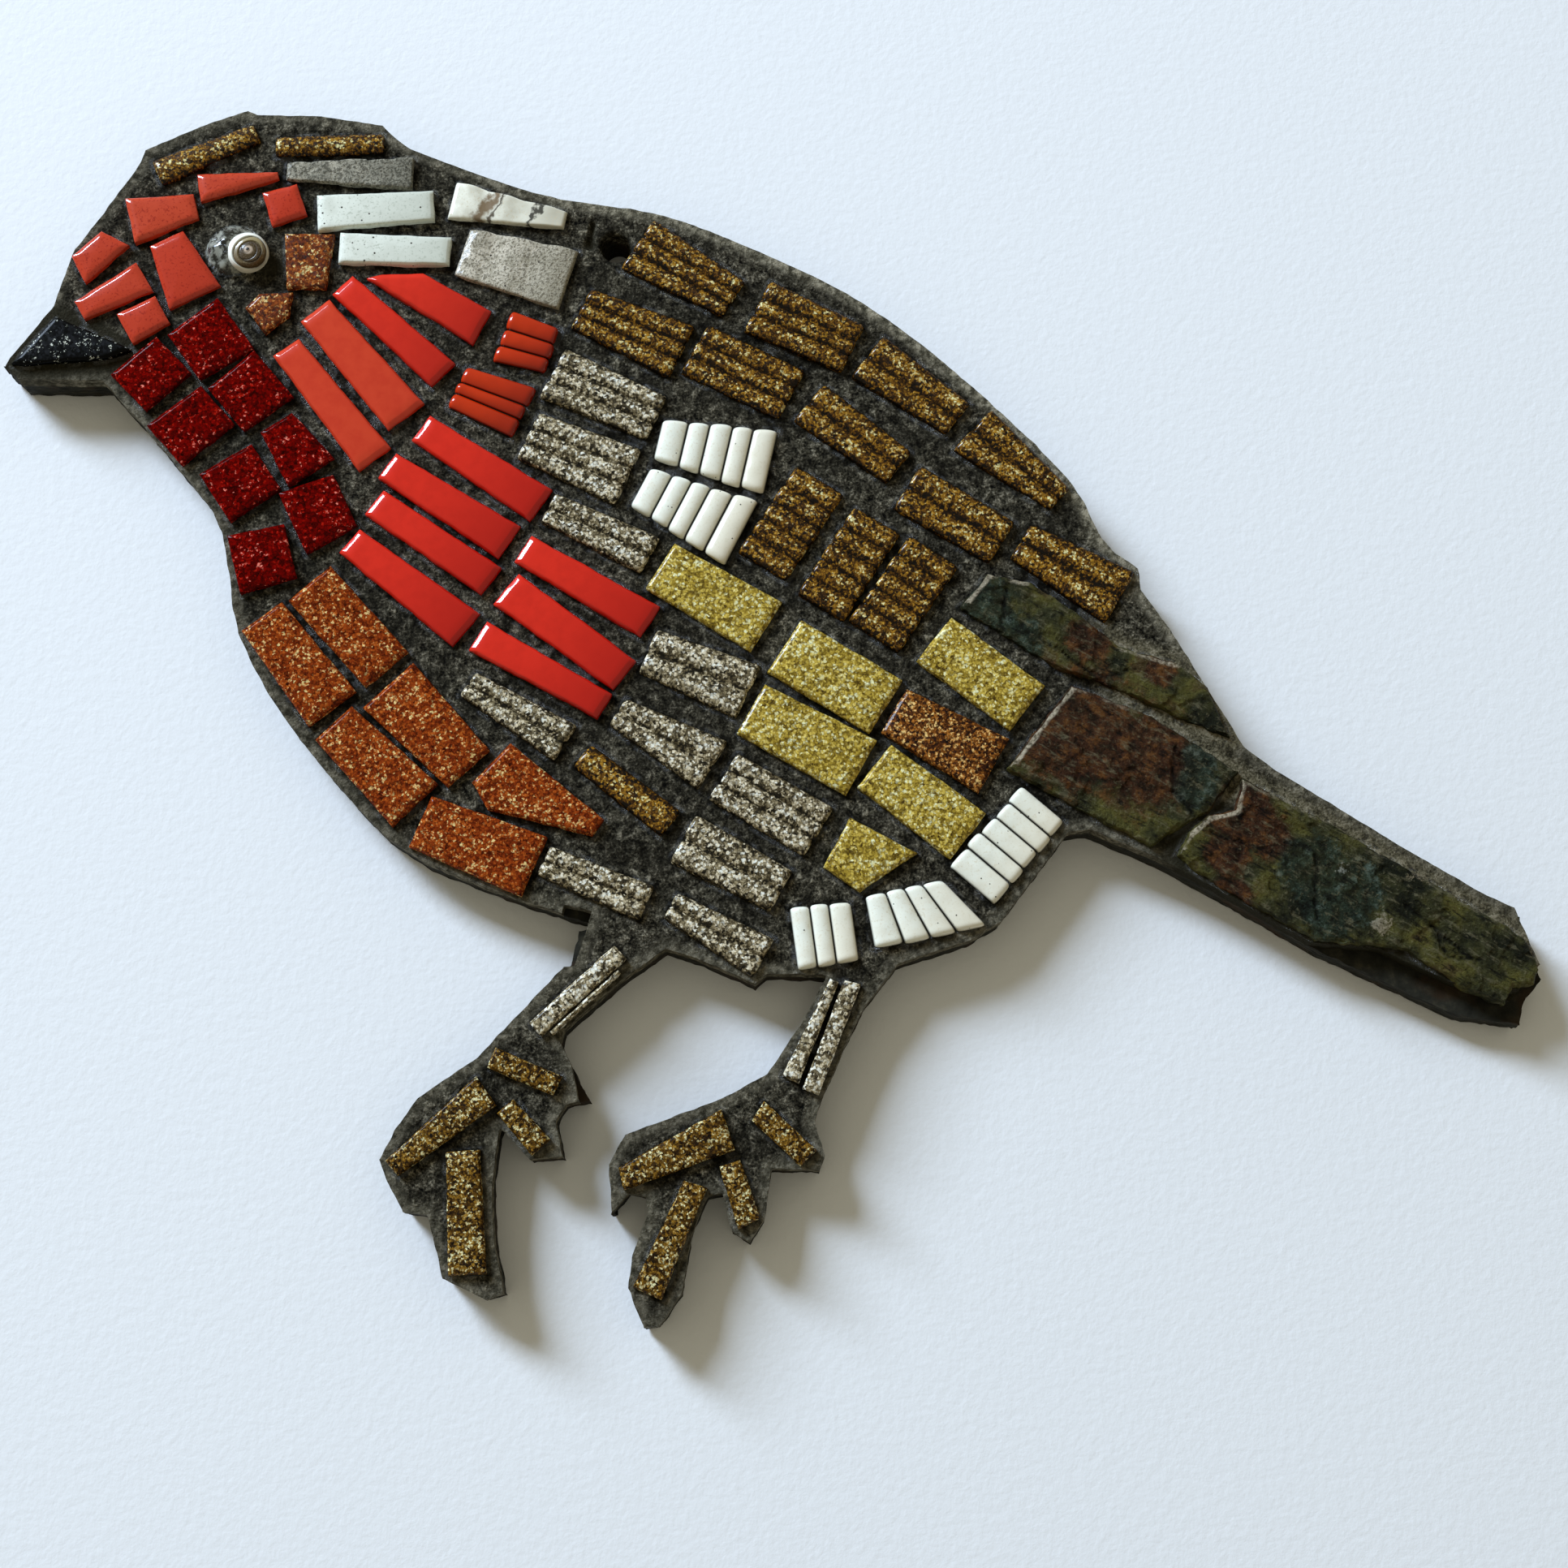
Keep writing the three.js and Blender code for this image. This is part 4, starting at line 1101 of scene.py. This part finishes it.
for j in range(outward_steps):
    f = j / (outward_steps - 1)
    shrink = min(1.0, 1.1 - 1.1 * f)
    for i in range(around):
        a = 2 * math.pi * i / around
        # The disc inside the body whorl lies off centre, so the pale whorl is a crescent. It is made
        # narrowest towards the lower right: partly the shell's own whorl, partly painted shade on its shaded
        # side.
        inner = min(1.0, max(0.0, (0.95 - shrink) / 0.3))
        x = EYE[0] + EYE_RADIUS * 0.96 * shrink * math.cos(a) + 0.35 * inner
        z = EYE[1] + EYE_RADIUS * 0.96 * shrink * math.sin(a) - 0.4 * inner
        crescent = 0.27 + 0.15 * math.cos(a - math.radians(130))
        second = crescent + 0.24
        turn = (3.0 * shrink ** 0.8 + i / around) % 1.0
        winding = math.exp(-((turn - 0.5) / 0.1) ** 2) * (0.8 if f > second else 0.0)
        step = math.exp(-((f - crescent) / 0.03) ** 2) + 0.8 * math.exp(-((f - second) / 0.03) ** 2)
        rise = TILE_FACE + float(np.interp(f, *zip(*EYE_PROFILE))) - 0.3 * step - 0.2 * winding * shrink
        points.append((x, z, rise))
        if f < crescent:
            whorl.append(0.3 * f / crescent)
        elif f < second:
            whorl.append(0.41 + 0.08 * math.sin(a))
        else:
            whorl.append(0.6 + 0.4 * (f - second) / (1 - second))
        seam.append(min(1.0, winding + step) if f < 0.9 else 0.0)
b = Builder()
b.add(points, strip_faces(outward_steps, around), whorl=whorl, seam=seam)
eye = b.make("fine_eye", s.material)
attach(eye, "root")
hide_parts("snail_shell_eye")

# Stage, light and camera.
s = Shader("paper")
fibre = s.noise(1.6, 4.0, 0.6)
s.set(Base_Color=(0.93, 0.93, 0.93, 1), Roughness=0.9)
s.set(Normal=s.bump(fibre, 0.35, 0.3))

# The sheet is open behind the panel, a little inside its outline, so that the panel's back can be
# looked at too. A spot of the sheet stays behind the hanging hole.
SHEET_DEPTH = -0.15
SHEET_REACH = 1500
SHEET_LAP = 1.2
sheet_edge = np.array([(-1, -1), (1, -1), (1, 1), (-1, 1)]) * SHEET_REACH + np.array([0, -100])
sheet_points, sheet_faces = triangulate(sheet_edge, [mitred(OUTLINE, -SHEET_LAP)])
spot = HOLE * 1.2
sheet = Builder()
sheet.add(raised(sheet_points, SHEET_DEPTH), sheet_faces.tolist())
sheet.add(raised(spot, SHEET_DEPTH), [tuple(range(len(spot)))])
sheet.make("paper_backdrop", s.material, smooth=False)

right = Vector((math.cos(HANG_TURN), 0, math.sin(HANG_TURN)))
up = Vector((-math.sin(HANG_TURN), 0, math.cos(HANG_TURN)))
out = Vector((0, -1, 0))


def spot_at(x, y, depth):
    """Row frame point of a place on the panel: mm from the hole along the drawing's own axes."""
    return (right * x + up * y + out * depth) / MM


def look(target, towards, distance):
    """Placement of an object at a distance from a target, with its -Z axis aimed at it."""
    back_axis = towards.normalized()
    side = up.cross(back_axis).normalized()
    top_axis = back_axis.cross(side)
    turn = Matrix((side, top_axis, back_axis)).transposed().to_4x4()
    return Matrix.Translation(target + back_axis * distance) @ turn


def area_light(name, towards, distance, size, power, colour):
    light = bpy.data.lights.new(name, "AREA")
    light.shape = "RECTANGLE"
    light.size = size
    light.size_y = size / 2
    light.energy = power
    light.color = colour
    placed(name, light).matrix_world = look(spot_at(*MIDDLE_OF_BIRD, 0), towards, distance)


MIDDLE_OF_BIRD = (20, -80)
WINDOW_COLOUR = (0.66, 0.8, 1.0)
LAMP_COLOUR = (1.0, 1.0, 1.0)
ROOM_COLOUR = (1.0, 0.94, 0.72, 1)
ROOM_STRENGTH = 0.3
area_light("window", right * -0.70 + up * 0.715 + out * 0.57, 2.6, 1.3, 107, WINDOW_COLOUR)
# A weak light on the back, which the sheet keeps from the front.
area_light("back_lamp", right * 0.5 + up * 0.6 - out, 1.5, 1.2, 22, LAMP_COLOUR)
world = bpy.data.worlds.new("room")
world.use_nodes = True
surround = world.node_tree.nodes["Background"]
surround.inputs["Color"].default_value = ROOM_COLOUR
surround.inputs["Strength"].default_value = ROOM_STRENGTH
bpy.context.scene.world = world
bpy.context.scene.view_settings.view_transform = "Standard"

# The camera stands towards the bird's foot end, tilted from straight in front. Its distance is in metres.
SENSOR_WIDTH = 36
FOCAL_LENGTH = 55.9
CAMERA_TILT = 0.25
CAMERA_TARGET = (30.2, -100, 9.5)
CAMERA_DISTANCE = 0.412
camera_data = bpy.data.cameras.new("camera")
camera_data.sensor_width = SENSOR_WIDTH
camera_data.lens = FOCAL_LENGTH
camera_data.clip_start = 0.01
camera = placed("camera", camera_data)
towards_camera = out * math.cos(CAMERA_TILT) - up * math.sin(CAMERA_TILT)
camera.matrix_world = look(spot_at(*CAMERA_TARGET), towards_camera, CAMERA_DISTANCE)
bpy.context.scene.camera = camera
